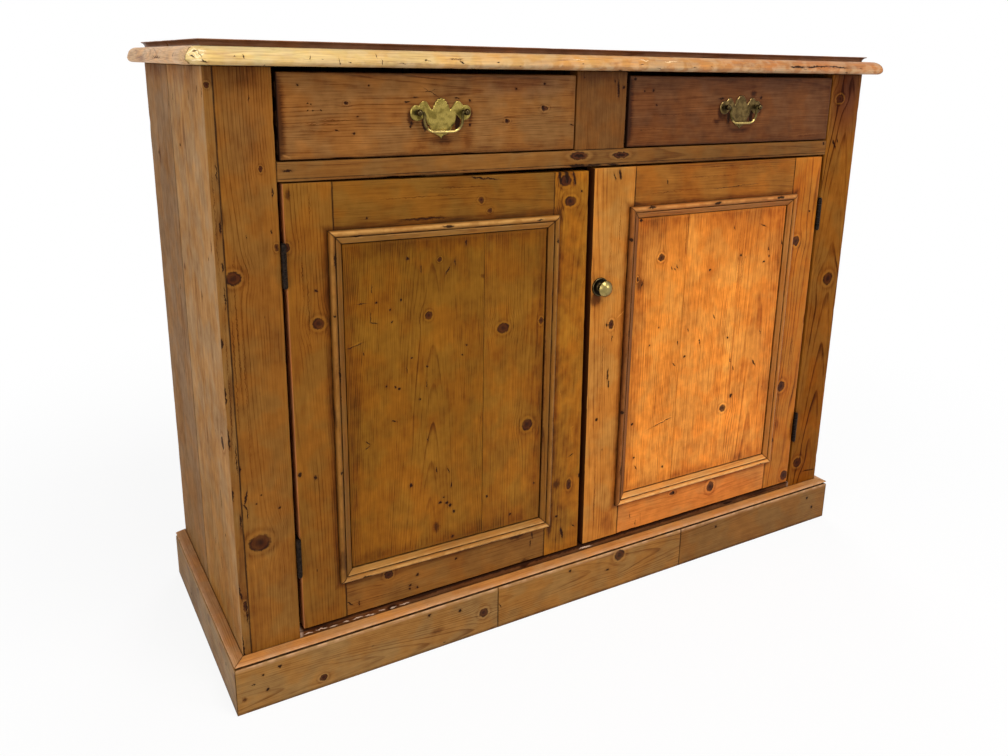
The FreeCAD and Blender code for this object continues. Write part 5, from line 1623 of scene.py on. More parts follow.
@dataclass
class Top(SubAssembly):
    """Top of two boards with a coved edge, over a mitred nosing."""

    joint: float = 17.0
    joint_gap: float = 0.12
    slab_top: float = 904.0
    crown: float = 912.0
    cove_root: float = -3.0
    lip: float = 3.0
    cove_height: float = 7.0
    cove_steps: int = 5
    nosing_flat: float = 17.0
    nosing_low: float = 7.0
    nosing_high: float = 15.0
    step: float = 14.0
    nosing_step: float = 5.0            # between rings of the lengths that show

    def levels(self) -> list[tuple[float, float, float, float]]:
        """Outward reach, height, wear, and soil and painted shade of each ring up the edge of the top.

        Returns:
            A row for each ring, from the lowest.
        """
        run = self.lip - self.cove_root
        radius = (run ** 2 + self.cove_height ** 2) / (2 * run)
        # the slab's edge and the foot of the cove are darkened: painted shade in the crease behind the nosing
        rows = [(0.0, CARCASS_HEIGHT, 0.0, 1.0), (0.0, self.slab_top - 0.2, 0.0, 1.0)]
        for i in range(self.cove_steps + 1):
            rise = self.cove_height * i / self.cove_steps
            reach = self.cove_root + radius - math.sqrt(radius ** 2 - rise ** 2)
            rows.append((reach, self.slab_top + rise, 0.0, 0.5 if i == 0 else 0.0))
        rows += [(self.lip - 0.1, self.crown - 0.6, 1.0, 0.0), (self.lip - 0.6, self.crown, 1.0, 0.0)]
        return rows + [(self.lip - 7.0, self.crown, 0.0, 0.0)]

    def board(self, name: str, y0: float, y1: float, coved: bool) -> Shape:
        """One board of the top.

        Args:
            name: Name of the board.
            y0: Front edge of its slab.
            y1: Back edge of its slab.
            coved: Whether its front edge is coved.

        Returns:
            The mesh.
        """
        made = Shape()
        seed = seed_of(name)
        wide = max(2, round(2 * HALF_WIDTH / self.step))
        deep = max(2, round((y1 - y0) / self.step))
        rings = []
        for reach, height, worn, soil in self.levels():
            x1 = HALF_WIDTH + reach
            front = y0 - reach * coved
            flat = [(-x1 + 2 * x1 * i / wide, front) for i in range(wide)]
            flat += [(x1, front + (y1 - front) * i / deep) for i in range(deep)]
            flat += [(x1 - 2 * x1 * i / wide, y1) for i in range(wide)]
            flat += [(-x1, y1 - (y1 - front) * i / deep) for i in range(deep)]
            points = []
            for x, y in flat:
                rubbed = worn * max(0.0, noise.noise(Vector((x, y, 0)) / 15 + seed) + 0.1)
                slip = 1 - rubbed * 1.4 / HALF_WIDTH
                points.append(Vector((x * slip, y * slip if y < 0 else y, height - rubbed * 0.3)))
            rings.append(made.ring(points, [worn] * len(points), [soil * (y < BACK - 1) for _, y in flat]))
        return made.skin(rings)

    def nosing(self) -> list[Spot]:
        """Section of the nosing: flat below, a small round, then a large round.

        Returns:
            The points of the section.
        """
        low = arc((self.nosing_flat, self.nosing_low), self.nosing_low, -90, 0, 6, 0.5)
        centre = self.nosing_flat + self.nosing_low - self.nosing_high
        high = arc((centre, self.nosing_low), self.nosing_high, 0, 90, 9, 0.35)
        rise = self.nosing_low + self.nosing_high
        # the back corners against the case and the cove are darkened: dirt and painted shade
        return [Spot(0, 0, 0, 1), Spot(9, 0), *low, *high[1:], Spot(4, rise, 0, 0.6), Spot(0, rise, 0, 1)]

    @staticmethod
    def splintered(point: Vector) -> Vector:
        """Break the front left corner of the nosing back, most at the mitre.

        Args:
            point: A vertex of the nosing.

        Returns:
            Its place after the break.
        """
        away = math.hypot(point.x + HALF_WIDTH + 20, point.y - FRONT + 20)
        bite = max(0.0, 1 - away / 26) ** 1.5
        rough = 1 + 0.9 * noise.noise(point / 3.2) + 0.5 * noise.noise(point / 1.4)
        return point + Vector((1.0, 1.0, -0.25 if point.z > 896 else 0.25)) * (3.4 * bite * max(rough, 0.0))

    def build(self) -> None:
        """Make both boards and the three lengths of nosing."""
        near, far = self.joint - self.joint_gap, self.joint + self.joint_gap
        for side, y0, y1, coved in (("front", FRONT, near, True), ("back", far, BACK, False)):
            name = f"top_{side}_board"
            self.add(name, self.board(name, y0, y1, coved), name, "dark_pine")
        runs = round_case(self.nosing(), CARCASS_HEIGHT, Wear(0.7, 2.6, 24.0, 0.3), 0.1, 0.15)
        for side in ("front", "left"):
            runs[side] = replace(runs[side], step=self.nosing_step)
        for side, sweep in runs.items():
            name = f"nosing_{side}"
            self.add(name, sweep.shape(name).moved(self.splintered), name)

    def dress(self) -> None:
        """Give the top a dark pine and the nosing a pale one."""
        for side, y in (("front", (FRONT + self.joint) / 2), ("back", (self.joint + BACK) / 2)):
            name = f"top_{side}_board"
            stains = [smudge(-260, y + 30, 45, 40, 0.25), smudge(310, y - 20, 60, 45, 0.2)]
            lie = Lie(Face.TOP, Grain.LEVEL, (0, y, self.crown))
            self.paint(name, pine_of(name, lie, [*stains, knot(130, y - 40, 9)]))
        out, height = 20, self.slab_top - 11
        for side, face, x, y in (
            ("front", Face.FRONT, 0, FRONT - out), ("left", Face.SIDE, -HALF_WIDTH - out, 0),
            ("right", Face.SIDE, HALF_WIDTH + out, 0),
        ):
            name = f"nosing_{side}"
            self.paint(name, pine_of(name, Lie(face, Grain.LEVEL, (x, y, height))))


@dataclass
class Plinth(SubAssembly):
    """Plinth boards round the foot under a small cap moulding."""

    thickness: float = 17.0
    height: float = 74.0
    joints: Point = (-176.0, 209.0)
    joint_gap: float = 0.2
    quirk: float = 12.5
    nose: float = 16.5
    nose_radius: float = 1.5
    cap_height: float = 9.0

    def section(self) -> list[Spot]:
        """Section of a board, dark along its foot and under the cap: painted shade against the floor and the
        cap.

        Returns:
            The points of the section.
        """
        points = [
            replace(spot, worn=0.0, soil=0.7) if spot.up < 1.4
            else replace(spot, soil=float(spot.up > self.height - 0.01 and spot.out < 15))
            for spot in plank_section((0, self.thickness), (0, self.height), 1.3)
        ]
        points.insert(4, Spot(self.thickness - 1.9, self.height, 0, 1))
        return points

    def cap(self) -> list[Spot]:
        """Section of the cap: a quirk, a small nose and a slope back to the case.

        Returns:
            The points of the section.
        """
        nose = arc((self.nose - self.nose_radius, 4.5), self.nose_radius, -90, 90, 6, 0.8)
        # the quirk under the nose is darkened: painted shade in the gap over the board
        quirk = [Spot(0, 0, 0, 1), Spot(self.quirk, 0, 0, 1), Spot(self.quirk, 2.9, 0, 1)]
        return [*quirk, *nose, Spot(10, 7.0), Spot(4, 8.2), Spot(1.5, 8.7), Spot(0, self.cap_height, 0, 0.9)]

    def build(self) -> None:
        """Make three front boards, two side boards and three caps."""
        runs = round_case(self.section(), 0, Wear(0.6, 2.0), 0.0, 0.2)
        whole = runs.pop("front")
        cuts = (-HALF_WIDTH, *self.joints, HALF_WIDTH)
        for i, side in enumerate(("left", "middle", "right")):
            lean = (-1 if i == 0 else 0, 1 if i == 2 else 0)
            start, end = cuts[i] + self.joint_gap, cuts[i + 1] - self.joint_gap
            sweep = replace(whole, start=start, end=end, lean=lean)
            name = f"plinth_front_{side}"
            self.add(name, sweep.shape(name), "plinth_front_boards")
        for side, sweep in runs.items():
            name = f"plinth_{side}"
            self.add(name, sweep.shape(name), name)
        for side, sweep in round_case(self.cap(), self.height, Wear(0.3, 1.0, 12.0, 0.0), 0.0, 0.2).items():
            name = f"plinth_cap_{side}"
            self.add(name, sweep.shape(name), "plinth_caps")

    def dress(self) -> None:
        """Give each board its own pine, darker along the floor as painted shade."""
        foot = [smudge(0, -2, 900, 9, 0.2)]
        half = self.height / 2
        for name in self.pieces:
            way = -1 if name.endswith("left") else 1
            lie = Lie(Face.SIDE, Grain.LEVEL, (way * (HALF_WIDTH + self.thickness), 0, half))
            if "front" in name:
                lie = Lie(Face.FRONT, Grain.LEVEL, (0, FRONT - self.thickness, half))
            self.paint(name, pine_of(name, lie, () if "cap" in name else foot))


@dataclass
class Door(SubAssembly):
    """A framed door with a raised, planked panel inside a bolection moulding."""

    name: str
    left: float
    right: float
    stiles: Point                       # widths of the left and right stile
    heads: Point                        # height of the head at the left and at the right
    leans: Point                        # how far each edge runs to the right from head to foot
    sag: Point                          # drop of the panel and moulding at the left and at the right
    joint: float                        # between the planks of the panel
    joint_gap: float = 0.1
    back: float = -166.0
    tongue_front: float = -181.0
    tongue_reach: float = 7.0           # into the grooves of the frame
    panel_back: float = -173.0
    field_front: float = -187.4
    margin: float = 10.9                # from the opening to the raised field
    moulding_half: float = 9.0          # from the opening to either edge of the moulding
    inner_foot: float = 161.3
    inner_head: float = 665.5

    def __post_init__(self) -> None:
        """Work out the opening between the stiles."""
        self.body = f"door_{self.name}"
        self.a, self.b = self.left + self.stiles[0], self.right - self.stiles[1]

    def planks(self) -> dict[str, Plank]:
        """Lay out the boards.

        Returns:
            The boards of the frame and the raised fields of the panel, by name.
        """
        gap, head = self.joint_gap, max(self.heads)
        a, b, y0, y1 = self.a, self.b, FRONT, self.back
        rail = {"grain": Grain.LEVEL, "soiled": (True, True)}
        return {
            "left_stile": Plank((self.left, y0, DOOR_FOOT), (a - gap, y1, head), joints=((0, 1),)),
            "right_stile": Plank((b + gap, y0, DOOR_FOOT), (self.right, y1, head), joints=((0, -1),)),
            "top_rail": Plank((a + gap, y0, self.inner_head), (b - gap, y1, head), **rail),
            "bottom_rail": Plank((a + gap, y0, DOOR_FOOT), (b - gap, y1, self.inner_foot), **rail),
            "panel_left": self.board(a + self.margin, self.joint - gap, ((0, 1),)),
            "panel_right": self.board(self.joint + gap, b - self.margin, ((0, -1),)),
        }

    def board(self, x0: float, x1: float, joints: tuple[Side, ...]) -> Plank:
        """The raised field on one plank of the panel.

        Args:
            x0: Left edge.
            x1: Right edge.
            joints: Sides that meet the next plank.

        Returns:
            The plank.
        """
        low, high = self.inner_foot + self.margin, self.inner_head - self.margin
        return Plank(
            (x0, self.field_front, low), (x1, self.tongue_front + 0.2, high), radius=1.1,
            wear=Wear(0.3, 0.8, sag=0.5), joints=joints, dirt_and_shade=0.12,
        )

    def tongue(self, x0: float, x1: float) -> Plank:
        """The thin board behind the field, which runs into the grooves of the frame."""
        low, high = self.inner_foot - self.tongue_reach, self.inner_head + self.tongue_reach
        return Plank((x0, self.tongue_front, low), (x1, self.panel_back, high), radius=0.6, wear=UNWORN)

    def settled(self, point: Vector) -> Vector:
        """Bring a point to where age has left it: edges out of upright, panel and head out of level.

        Args:
            point: A point of the true door.

        Returns:
            The point on the old door.
        """
        def share(value: float, start: float, end: float) -> float:
            """How far a value has come from a start to an end, from 0 to 1."""
            return min(max((value - start) / (end - start), 0.0), 1.0)

        x, y, z = point
        top = max(self.heads)
        across = (x - self.left) / (self.right - self.left)
        rise = (z - DOOR_FOOT) / (top - DOOR_FOOT)
        above = share(z, self.inner_head, top)
        below = share(z, DOOR_FOOT, self.inner_foot - self.moulding_half)
        sunk = self.sag[0] + (self.sag[1] - self.sag[0]) * across
        head = self.heads[0] + (self.heads[1] - self.heads[0]) * across - top
        lean = share(x, self.a, self.left) * self.leans[0] + share(x, self.b, self.right) * self.leans[1]
        return Vector((x + lean * (0.5 - rise), y, z + (sunk * (1 - above) + head * above) * below))

    @staticmethod
    def section() -> list[Spot]:
        """Section of the moulding, from the opening's edge towards the panel.

        Returns:
            The points of the section.
        """
        # The bead's foot, the quirk and the inner edge are darkened: dirt and painted shade in the moulding's
        # hollows.
        bead = [
            Spot(-9, 0, 0, 1), Spot(-9, 1.8, 0, 0.9), Spot(-8.9, 3.0, 0, 0.5), Spot(-8.2, 4.9, 0.3, 0.1),
            Spot(-7.0, 6.3, 0.8), Spot(-5.8, 7.0, 1.0), Spot(-4.6, 7.2, 1.0), Spot(-3.2, 7.0, 0.8),
            Spot(-1.8, 6.2, 0.3), Spot(-0.8, 5.3),
        ]
        quirk = [
            Spot(-0.2, 4.6, 0, 0.8), Spot(0.2, 3.7, 0, 1), Spot(0.6, 3.3, 0, 1), Spot(1.0, 3.7, 0, 1),
            Spot(1.4, 4.6, 0.6, 0.3),
        ]
        slope = [
            Spot(1.9, 4.5, 0.8), Spot(4.0, 3.0, 0.2), Spot(6.5, 1.8, 0.1), Spot(9.0, 1.1, 0.2),
            Spot(9.7, 0.8, 0.2, 0.3),
        ]
        hidden = [Spot(9.7, -1.0, 0, 0.8), Spot(9.7, -7, 0, 1), Spot(0, -7), Spot(0, -0.2)]
        return bead + quirk + slope + hidden

    def build(self) -> None:
        """Make the frame, the panel and the four lengths of moulding."""
        a, b, reach, gap = self.a, self.b, self.tongue_reach, self.joint_gap
        tongues = {
            "panel_left": self.tongue(a - reach, self.joint - gap),
            "panel_right": self.tongue(self.joint + gap, b + reach),
        }
        for name, plank in self.planks().items():
            piece = f"{self.body}_{name}"
            made = plank.shape(piece)
            if name in tongues:
                made.join(tongues[name].shape(piece))
            self.add(piece, made.moved(self.settled), f"{self.body}_panel" if name in tongues else piece)
        z0, z1 = self.inner_foot, self.inner_head
        sides = {
            "left": ((a, FRONT, 0), AXES[2], (1, 0, 0), z0, z1),
            "right": ((b, FRONT, 0), AXES[2], (-1, 0, 0), z0, z1),
            "foot": ((0, FRONT, z0), AXES[0], (0, 0, 1), a, b),
            "head": ((0, FRONT, z1), AXES[0], (0, 0, -1), a, b),
        }
        wear, trim = Wear(0.35, 1.6, 15.0, 0.1), 0.15
        mitred = {"lean": (1, -1), "ends": 0.1, "soiled": (True, True), "wear": wear, "step": 7.0}
        for name, (origin, along, out, start, end) in sides.items():
            piece = f"{self.body}_moulding_{name}"
            sweep = Sweep(self.section(), origin, along, out, (0, -1, 0), start + trim, end - trim, **mitred)
            self.add(piece, sweep.shape(piece).moved(self.settled), f"{self.body}_mouldings")
        self.keep(f"{self.body}_hinge_leaves", 0.25)

    def dress(self) -> None:
        """Give each board its own pine and marks."""
        a, b, z0, z1, out = self.a, self.b, self.inner_foot, self.inner_head, self.moulding_half
        # Old dirt and painted shade by the moulding: the frame darkens outside it, the panel inside it.
        frame_dirt_and_shade = DirtAndShade((a - out, b + out), (z0 - out, z1 + out), 12, 0.4)
        panel_dirt_and_shade = DirtAndShade((a + out, b - out), (z0 + out, z1 - out), 34, 0.24)
        planks = self.planks()
        for name, plank in planks.items():
            piece = f"{self.body}_{name}"
            self.paint(piece, pine_of(piece, plank.lie(), (), panel_dirt_and_shade if "panel" in name else frame_dirt_and_shade))
        # The left stile's outer edge gets its own tone: painted light in the left door's hinge gap, painted
        # shade in the right door's meeting gap.
        stile = f"{self.body}_left_stile"
        self.paint_side(stile, pine_of(f"{stile}_edge", planks["left_stile"].lie()), (-1, 0, 0))
        x, z = (self.left + self.right) / 2, (z0 + z1) / 2
        for name, grain, place in (
            ("left", Grain.UPRIGHT, (a, FRONT, z)), ("right", Grain.UPRIGHT, (b, FRONT, z)),
            ("foot", Grain.LEVEL, (x, FRONT, z0)), ("head", Grain.LEVEL, (x, FRONT, z1)),
        ):
            piece = f"{self.body}_moulding_{name}"
            self.paint(piece, pine_of(piece, Lie(Face.FRONT, grain, place)))
        leaves = f"{self.body}_hinge_leaves"
        self.paint(leaves, IRON.material(leaves))


def through(start: Point, middle: Point, end: Point, steps: int) -> list[Point]:
    """Points along the arc through three points, without the first.

    Args:
        start: First point.
        middle: A point that the arc passes.
        end: Last point.
        steps: Number of stretches.

    Returns:
        The points; a straight line where the three are in line.
    """
    a, b, c = Vector(start), Vector(middle), Vector(end)
    ab, ac = b - a, c - a
    cross = 2 * (ab.x * ac.y - ab.y * ac.x)
    if abs(cross) < 0.2:
        return [tuple(a.lerp(c, i / steps)) for i in range(1, steps + 1)]
    one, two = ab.length_squared, ac.length_squared
    centre = a + Vector((ac.y * one - ab.y * two, ab.x * two - ac.x * one)) / cross
    radius = (a - centre).length
    first, last = (math.atan2(p.y - centre.y, p.x - centre.x) for p in (a, c))
    turn = (last - first) % (2 * math.pi)
    if cross < 0:
        turn -= 2 * math.pi
    angles = [first + turn * i / steps for i in range(1, steps + 1)]
    return [(centre.x + radius * math.cos(t), centre.y + radius * math.sin(t)) for t in angles]


def inset(outline: Sequence[Point], depth: float) -> list[Point]:
    """Outline moved inward; points run clockwise.

    Args:
        outline: The points.
        depth: How far they move.

    Returns:
        The moved points.
    """
    moved = []
    count = len(outline)
    for i, (x, z) in enumerate(outline):
        before, after = Vector(outline[i - 1]), Vector(outline[(i + 1) % count])
        way = (after - before).normalized()
        moved.append((x + way.y * depth, z - way.x * depth))
    return moved


@dataclass
class Drawer(SubAssembly):
    """A drawer with its worn front, dovetailed box and swan-neck handle."""

    name: str
    left: float
    right: float
    plate_place: Point                  # middle of the handle's back plate
    brass: Metal
    scalloped: bool                     # whether the crest keeps its scallops
    foot: float = 768.0
    head: float = 876.0
    thickness: float = 20.0
    post_half: float = 35.5
    post_lift: float = 8.3
    plate_thickness: float = 1.6
    plate_bevel: float = 1.0
    standoff: float = 7.0
    ball: float = 4.5
    bail_arm: float = 28.6
    bail_drop: float = 25.4
    bail_corner: float = 15.0
    bail_sides: int = 16
    rod: float = 1.9
    swell: float = 0.6
    swell_half: float = 17.0
    pin: float = 1.4
    pin_end: float = 34.5

    def __post_init__(self) -> None:
        """Lay out the front and work out the middle of the handle."""
        self.body = f"drawer_{self.name}"
        self.handle = f"handle_{self.name}"
        self.middle, self.plate_z = self.plate_place
        self.post_z = self.plate_z + self.post_lift
        self.axis_y = FRONT - self.plate_thickness - self.standoff
        self.front = Plank(
            (self.left + 0.25, FRONT, self.foot), (self.right - 0.25, FRONT + self.thickness, self.head),
            Face.FRONT, Grain.LEVEL, 2.0, (True, False), Wear(0.8, 2.2),
        )

    def plate_outline(self) -> list[Point]:
        """Outline of the back plate: crest, eared shoulders and pointed foot.

        Returns:
            Points round the plate, from its middle.
        """
        h = self.post_half
        crest = [((4.2, 26.2), (7.0, 23.7)), ((9.6, 21.2), (11.2, 16.9)), ((12.6, 14.2), (13.4, 11.4))]
        shoulder = [
            ((h - 19, 15.2), (h - 16, 19.4)), ((h - 10.6, 23.4), (h - 5.0, 20.6)),
            ((h - 3.4, 19.0), (h - 2.6, 17.2)), ((h + 8.2, 14.8), (h + 10.0, 8.4)),
            ((h + 7.6, 0.4), (h + 2, -2.8)), ((h - 6, -1.4), (h - 10, 2.6)),
            ((24.2, 3.4), (23, 4.2)), ((22, -2), (19.6, -8.2)), ((18.6, -8.6), (17.6, -9)),
            ((12.8, -17.8), (4.4, -23)), ((2.6, -24.2), (0, -27.0)),
        ]
        scallops = [
            ((1.6, 27.0), (2.2, 25.4)), ((4.6, 26.3), (5.8, 23.2)), ((8.4, 22.6), (8.8, 19.4)),
            ((11.2, 17.6), (11.6, 15.2)), ((12.6, 13.4), (13.4, 11.4)),
        ]
        half = [(0.0, 27.4)]
        for middle, end in [*(scallops if self.scalloped else crest), *shoulder]:
            half += through(half[-1], middle, end, 5)
        return half + [(-x, z) for x, z in reversed(half[1:-1])]

    def plate(self) -> Shape:
        """Back plate with a bevelled edge.

        Returns:
            The mesh.
        """
        made = Shape()
        outline = self.plate_outline()
        inner, deeper = (inset(outline, self.plate_bevel * share) for share in (0.8, 1.4))
        rings = []
        # the ring against the wood is darkened: painted shade where the plate meets the front
        for points, depth, worn, soil in (
            (outline, 0.0, 0.0, 1.0), (outline, 0.55, 0.7, 0.2),
            (inner, self.plate_thickness - 0.1, 1.0, 0.0), (deeper, self.plate_thickness, 0.0, 0.0),
        ):
            ring = [Vector((self.middle + x, FRONT - depth, self.plate_z + z)) for x, z in points]
            rings.append(made.ring(ring, [worn] * len(ring), [soil] * len(ring)))
        return made.skin(rings)

    def posts(self) -> Shape:
        """Two ball-headed posts with their shanks and the nuts inside.

        Returns:
            The mesh.
        """
        made = Shape()
        seat, ball, r = self.plate_thickness, self.plate_thickness + self.standoff, self.ball
        wall = -self.thickness
        end = wall - 4.5
        outline = [
            (2.4, end, 0, 0), (2.5, end + 0.4, 0, 0), (2.5, seat, 0, 1), (3.7, seat, 0, 1),
            (3.9, seat + 0.3, 0.4, 0.4), (3.9, seat + 0.9, 0.6, 0), (3.5, seat + 1.2, 0.3, 0.4),
            (2.6, seat + 1.4, 0, 1),
        ]
        for degrees in range(-54, 91, 12):
            turn = math.radians(min(degrees, 89))
            # the back of each ball is darkened: painted shade towards the plate
            worn, soil = (0.5 if degrees > 0 else 0), 0.6 * (degrees < -20)
            outline.append((r * math.cos(turn), ball + r * math.sin(turn), worn, soil))
        nut = [(2.6, wall), (5.6, wall), (6, wall - 0.4), (6, end + 0.5), (5.5, end), (2.6, end)]
        for sign in (-1, 1):
            place = (self.middle + sign * self.post_half, FRONT, self.post_z)
            made.join(turned(outline, place, (0, -1, 0), 32))
            made.join(turned([(r, h, 0, 0.3) for r, h in nut], place, (0, -1, 0), 6))
        return made

    def bail_path(self) -> list[Point]:
        """Middle line of the drop handle, from pin to pin.

        Returns:
            Points from the handle's axis.
        """
        arm, low, corner = self.bail_arm, -self.bail_drop, self.bail_corner
        path = [(-self.pin_end, 0.0), (-arm - 2.6, 0.0), (-arm - 1.2, -0.2), (-arm - 0.3, -1.2), (-arm, -3.0)]
        turns = [math.radians(10 * i) for i in range(10)]
        path += [(-arm, low + corner)]
        path += [(-arm + corner - corner * math.cos(t), low + corner - corner * math.sin(t)) for t in turns]
        path += [(x, low) for x in (-9.0, -5.0, 0.0)]
        return path + [(-x, z) for x, z in reversed(path[:-1])]

    def bail(self) -> Shape:
        """Drop handle: arms, round corners, a swelled grip and end pins.

        Returns:
            The mesh.
        """
        path, low, sides = self.bail_path(), -self.bail_drop, self.bail_sides
        made = Shape()
        rings = []
        last = len(path) - 1
        turns = [2 * math.pi * j / sides for j in range(sides)]
        for i, (x, z) in enumerate(path):
            before, after = path[max(i - 1, 0)], path[min(i + 1, last)]
            way = Vector((after[0] - before[0], 0, after[1] - before[1])).normalized()
            side = way.cross(Vector((0, 1, 0)))
            from_pin = min(i, last - i)
            radius = self.pin if from_pin < 2 else self.rod
            radius += self.swell * max(0.0, 1 - (x / self.swell_half) ** 2) if z == low else 0.0
            middle = Vector((self.middle + x, self.axis_y, self.post_z + z))
            ring = [middle + (side * math.cos(t) + Vector((0, 1, 0)) * math.sin(t)) * radius for t in turns]
            # the arms are darkened with soil and painted shade; the grip is left bright by wear
            worn = 1.0 if z < low + 4 else 0.1
            soil = 0.0 if z < low + 5 else 0.8 if from_pin > 4 else 1.0
            rings.append(made.ring(ring, [worn] * sides, [soil] * sides))
        return made.skin(rings)

    def build(self) -> None:
        """Make the front and the handle, and keep the box."""
        front = f"{self.body}_front"
        self.add(front, self.front.shape(front), front)
        for part, shape, body in (
            ("plate", self.plate(), self.body), ("posts", self.posts(), self.body),
            ("bail", self.bail(), f"bail_{self.name}"),
        ):
            self.add(f"{self.handle}_{part}", shape, f"{self.handle}_{part}", "aged_brass", body)
        for part in ("sides", "back", "bottom"):
            self.keep(f"{self.body}_{part}", 0.4)

    def dress(self) -> None:
        """Give the front its pine, the box a plain pine and the handle old brass."""
        front, lie = f"{self.body}_front", self.front.lie()
        x, z = self.middle, self.plate_z
        # Painted shadow of the plate, posts and bail round the handle, the two black splits beside the plate
        # too, and painted shade at the left end and along the top and bottom edges.
        around = [
            smudge(x, z, 58, 40, 0.12), smudge(x - 44, z + 8, 8, 20, 0.2), smudge(x, z - 29, 26, 7, 0.4),
            smudge(self.left, 820, 12, 80, 0.5), split(x + 25, z - 7, 22, 9, -8),
            split(x - 25, z - 8, 20, 7, 8), smudge(x + 45, z + 3, 5, 12, 0.5), smudge(x - 45, z, 6, 12, 0.6),
            smudge(x, self.head, 260, 7, 0.3), smudge(x, self.foot, 260, 5, 0.3),
        ]
        # Old dirt and painted shade darken the front towards its edges, by the gaps.
        dirt_and_shade = DirtAndShade((self.left, self.right), (self.foot, self.head), 12, 0.2)
        self.paint(front, pine_of(front, lie, around, dirt_and_shade))
        self.paint_side(front, SHADE.material(f"{front}_edge", lie), (-1, 0, 0))
        for part, metal in (("plate", self.brass), ("posts", DARK_BRASS), ("bail", BRASS)):
            self.paint(f"{self.handle}_{part}", metal.material(f"{self.handle}_{part}"))
        shadow = [wash(-176, 820, 26, 300, (0.1, 0.07, 0.06))]
        for part, face in (("sides", Face.SIDE), ("back", Face.FRONT), ("bottom", Face.TOP)):
            lie = Lie(face, Grain.LEVEL, (x, 0, (self.foot + self.head) / 2))
            node = f"{self.body}_{part}"
            self.paint(node, PLAIN.material(node, lie, shadow if part == "sides" else ()))


@dataclass
class Knob(SubAssembly):
    """Turned brass knob on its rosette, with the catch inside the door."""

    body: str = field(init=False, default="turning_knob")
    x: float = 11.5
    z: float = 550.0

    def build(self) -> None:
        """Make the knob and rosette, and keep the catch."""
        place, way = (self.x, FRONT, self.z), (0, -1, 0)
        rosette = [
            (4.2, 0, 0, 1), (15.2, 0, 0, 1), (15.4, 0.6, 0.4, 0), (15.4, 1.8, 0.8, 0), (14.8, 2.8, 1, 0),
            (14.1, 3.2, 1, 0), (13.4, 2.9, 0.6, 0), (12.9, 2.2, 0, 0.9), (11.8, 1.9, 0, 1), (8.6, 2.0, 0, 1),
            (8.0, 2.4, 0.2, 0.6), (7.6, 3.4, 0.5, 0.2), (7.0, 4.3, 0.6, 0), (6.4, 4.5, 0.3, 0.4),
            (4.2, 4.5, 0, 1),
        ]
        self.add("knob_rosette", turned(rosette, place, way), "knob_rosette", "aged_brass", "door_right")
        shaft = [
            (0.5, -27.3, 0, 0), (3.8, -27.2, 0, 0), (4.4, -26.7, 0, 0), (4.4, -25.8, 0, 0.5),
            (2.7, -25.8, 0, 1), (2.7, -22.8, 0, 1), (4, -22.8, 0, 1), (4, 4.9, 0, 1), (5.3, 4.9, 0, 1),
            (5.5, 5.2, 0, 0.8),
        ]
        # the neck is darkened under the head: painted shade
        neck = [
            (5.5, 7.6, 0, 0.7), (5.5, 10.7, 0, 0.5), (5.9, 12.5, 0, 0.3), (6.7, 13.9, 0, 0.1),
            (7.9, 15.0, 0, 0), (9.6, 15.7, 0.1, 0), (11.6, 16.1, 0.3, 0), (12.7, 16.3, 0.6, 0),
            (13.0, 16.6, 0.8, 0),
        ]
        dome = [
            (12.7, 17.0), (12.0, 17.9), (10.9, 19.1), (9.2, 20.6), (7.2, 21.9), (4.8, 22.9), (2.4, 23.4),
            (0.2, 23.5),
        ]
        outline = shaft + neck + [(radius, height, 0.6, 0) for radius, height in dome]
        self.add("knob", turned(outline, place, way), "knob", "aged_brass")
        self.keep("knob_catch", 0.4)

    def dress(self) -> None:
        """Give the knob bright brass and the rosette dark brass."""
        bright = replace(BRASS, bright=(160, 141, 86), dull=(98, 83, 44))
        dark = replace(DARK_BRASS, dull=(44, 34, 22))
        for name, metal in (("knob", bright), ("knob_rosette", dark), ("knob_catch", DARK_BRASS)):
            self.paint(name, metal.material(name))


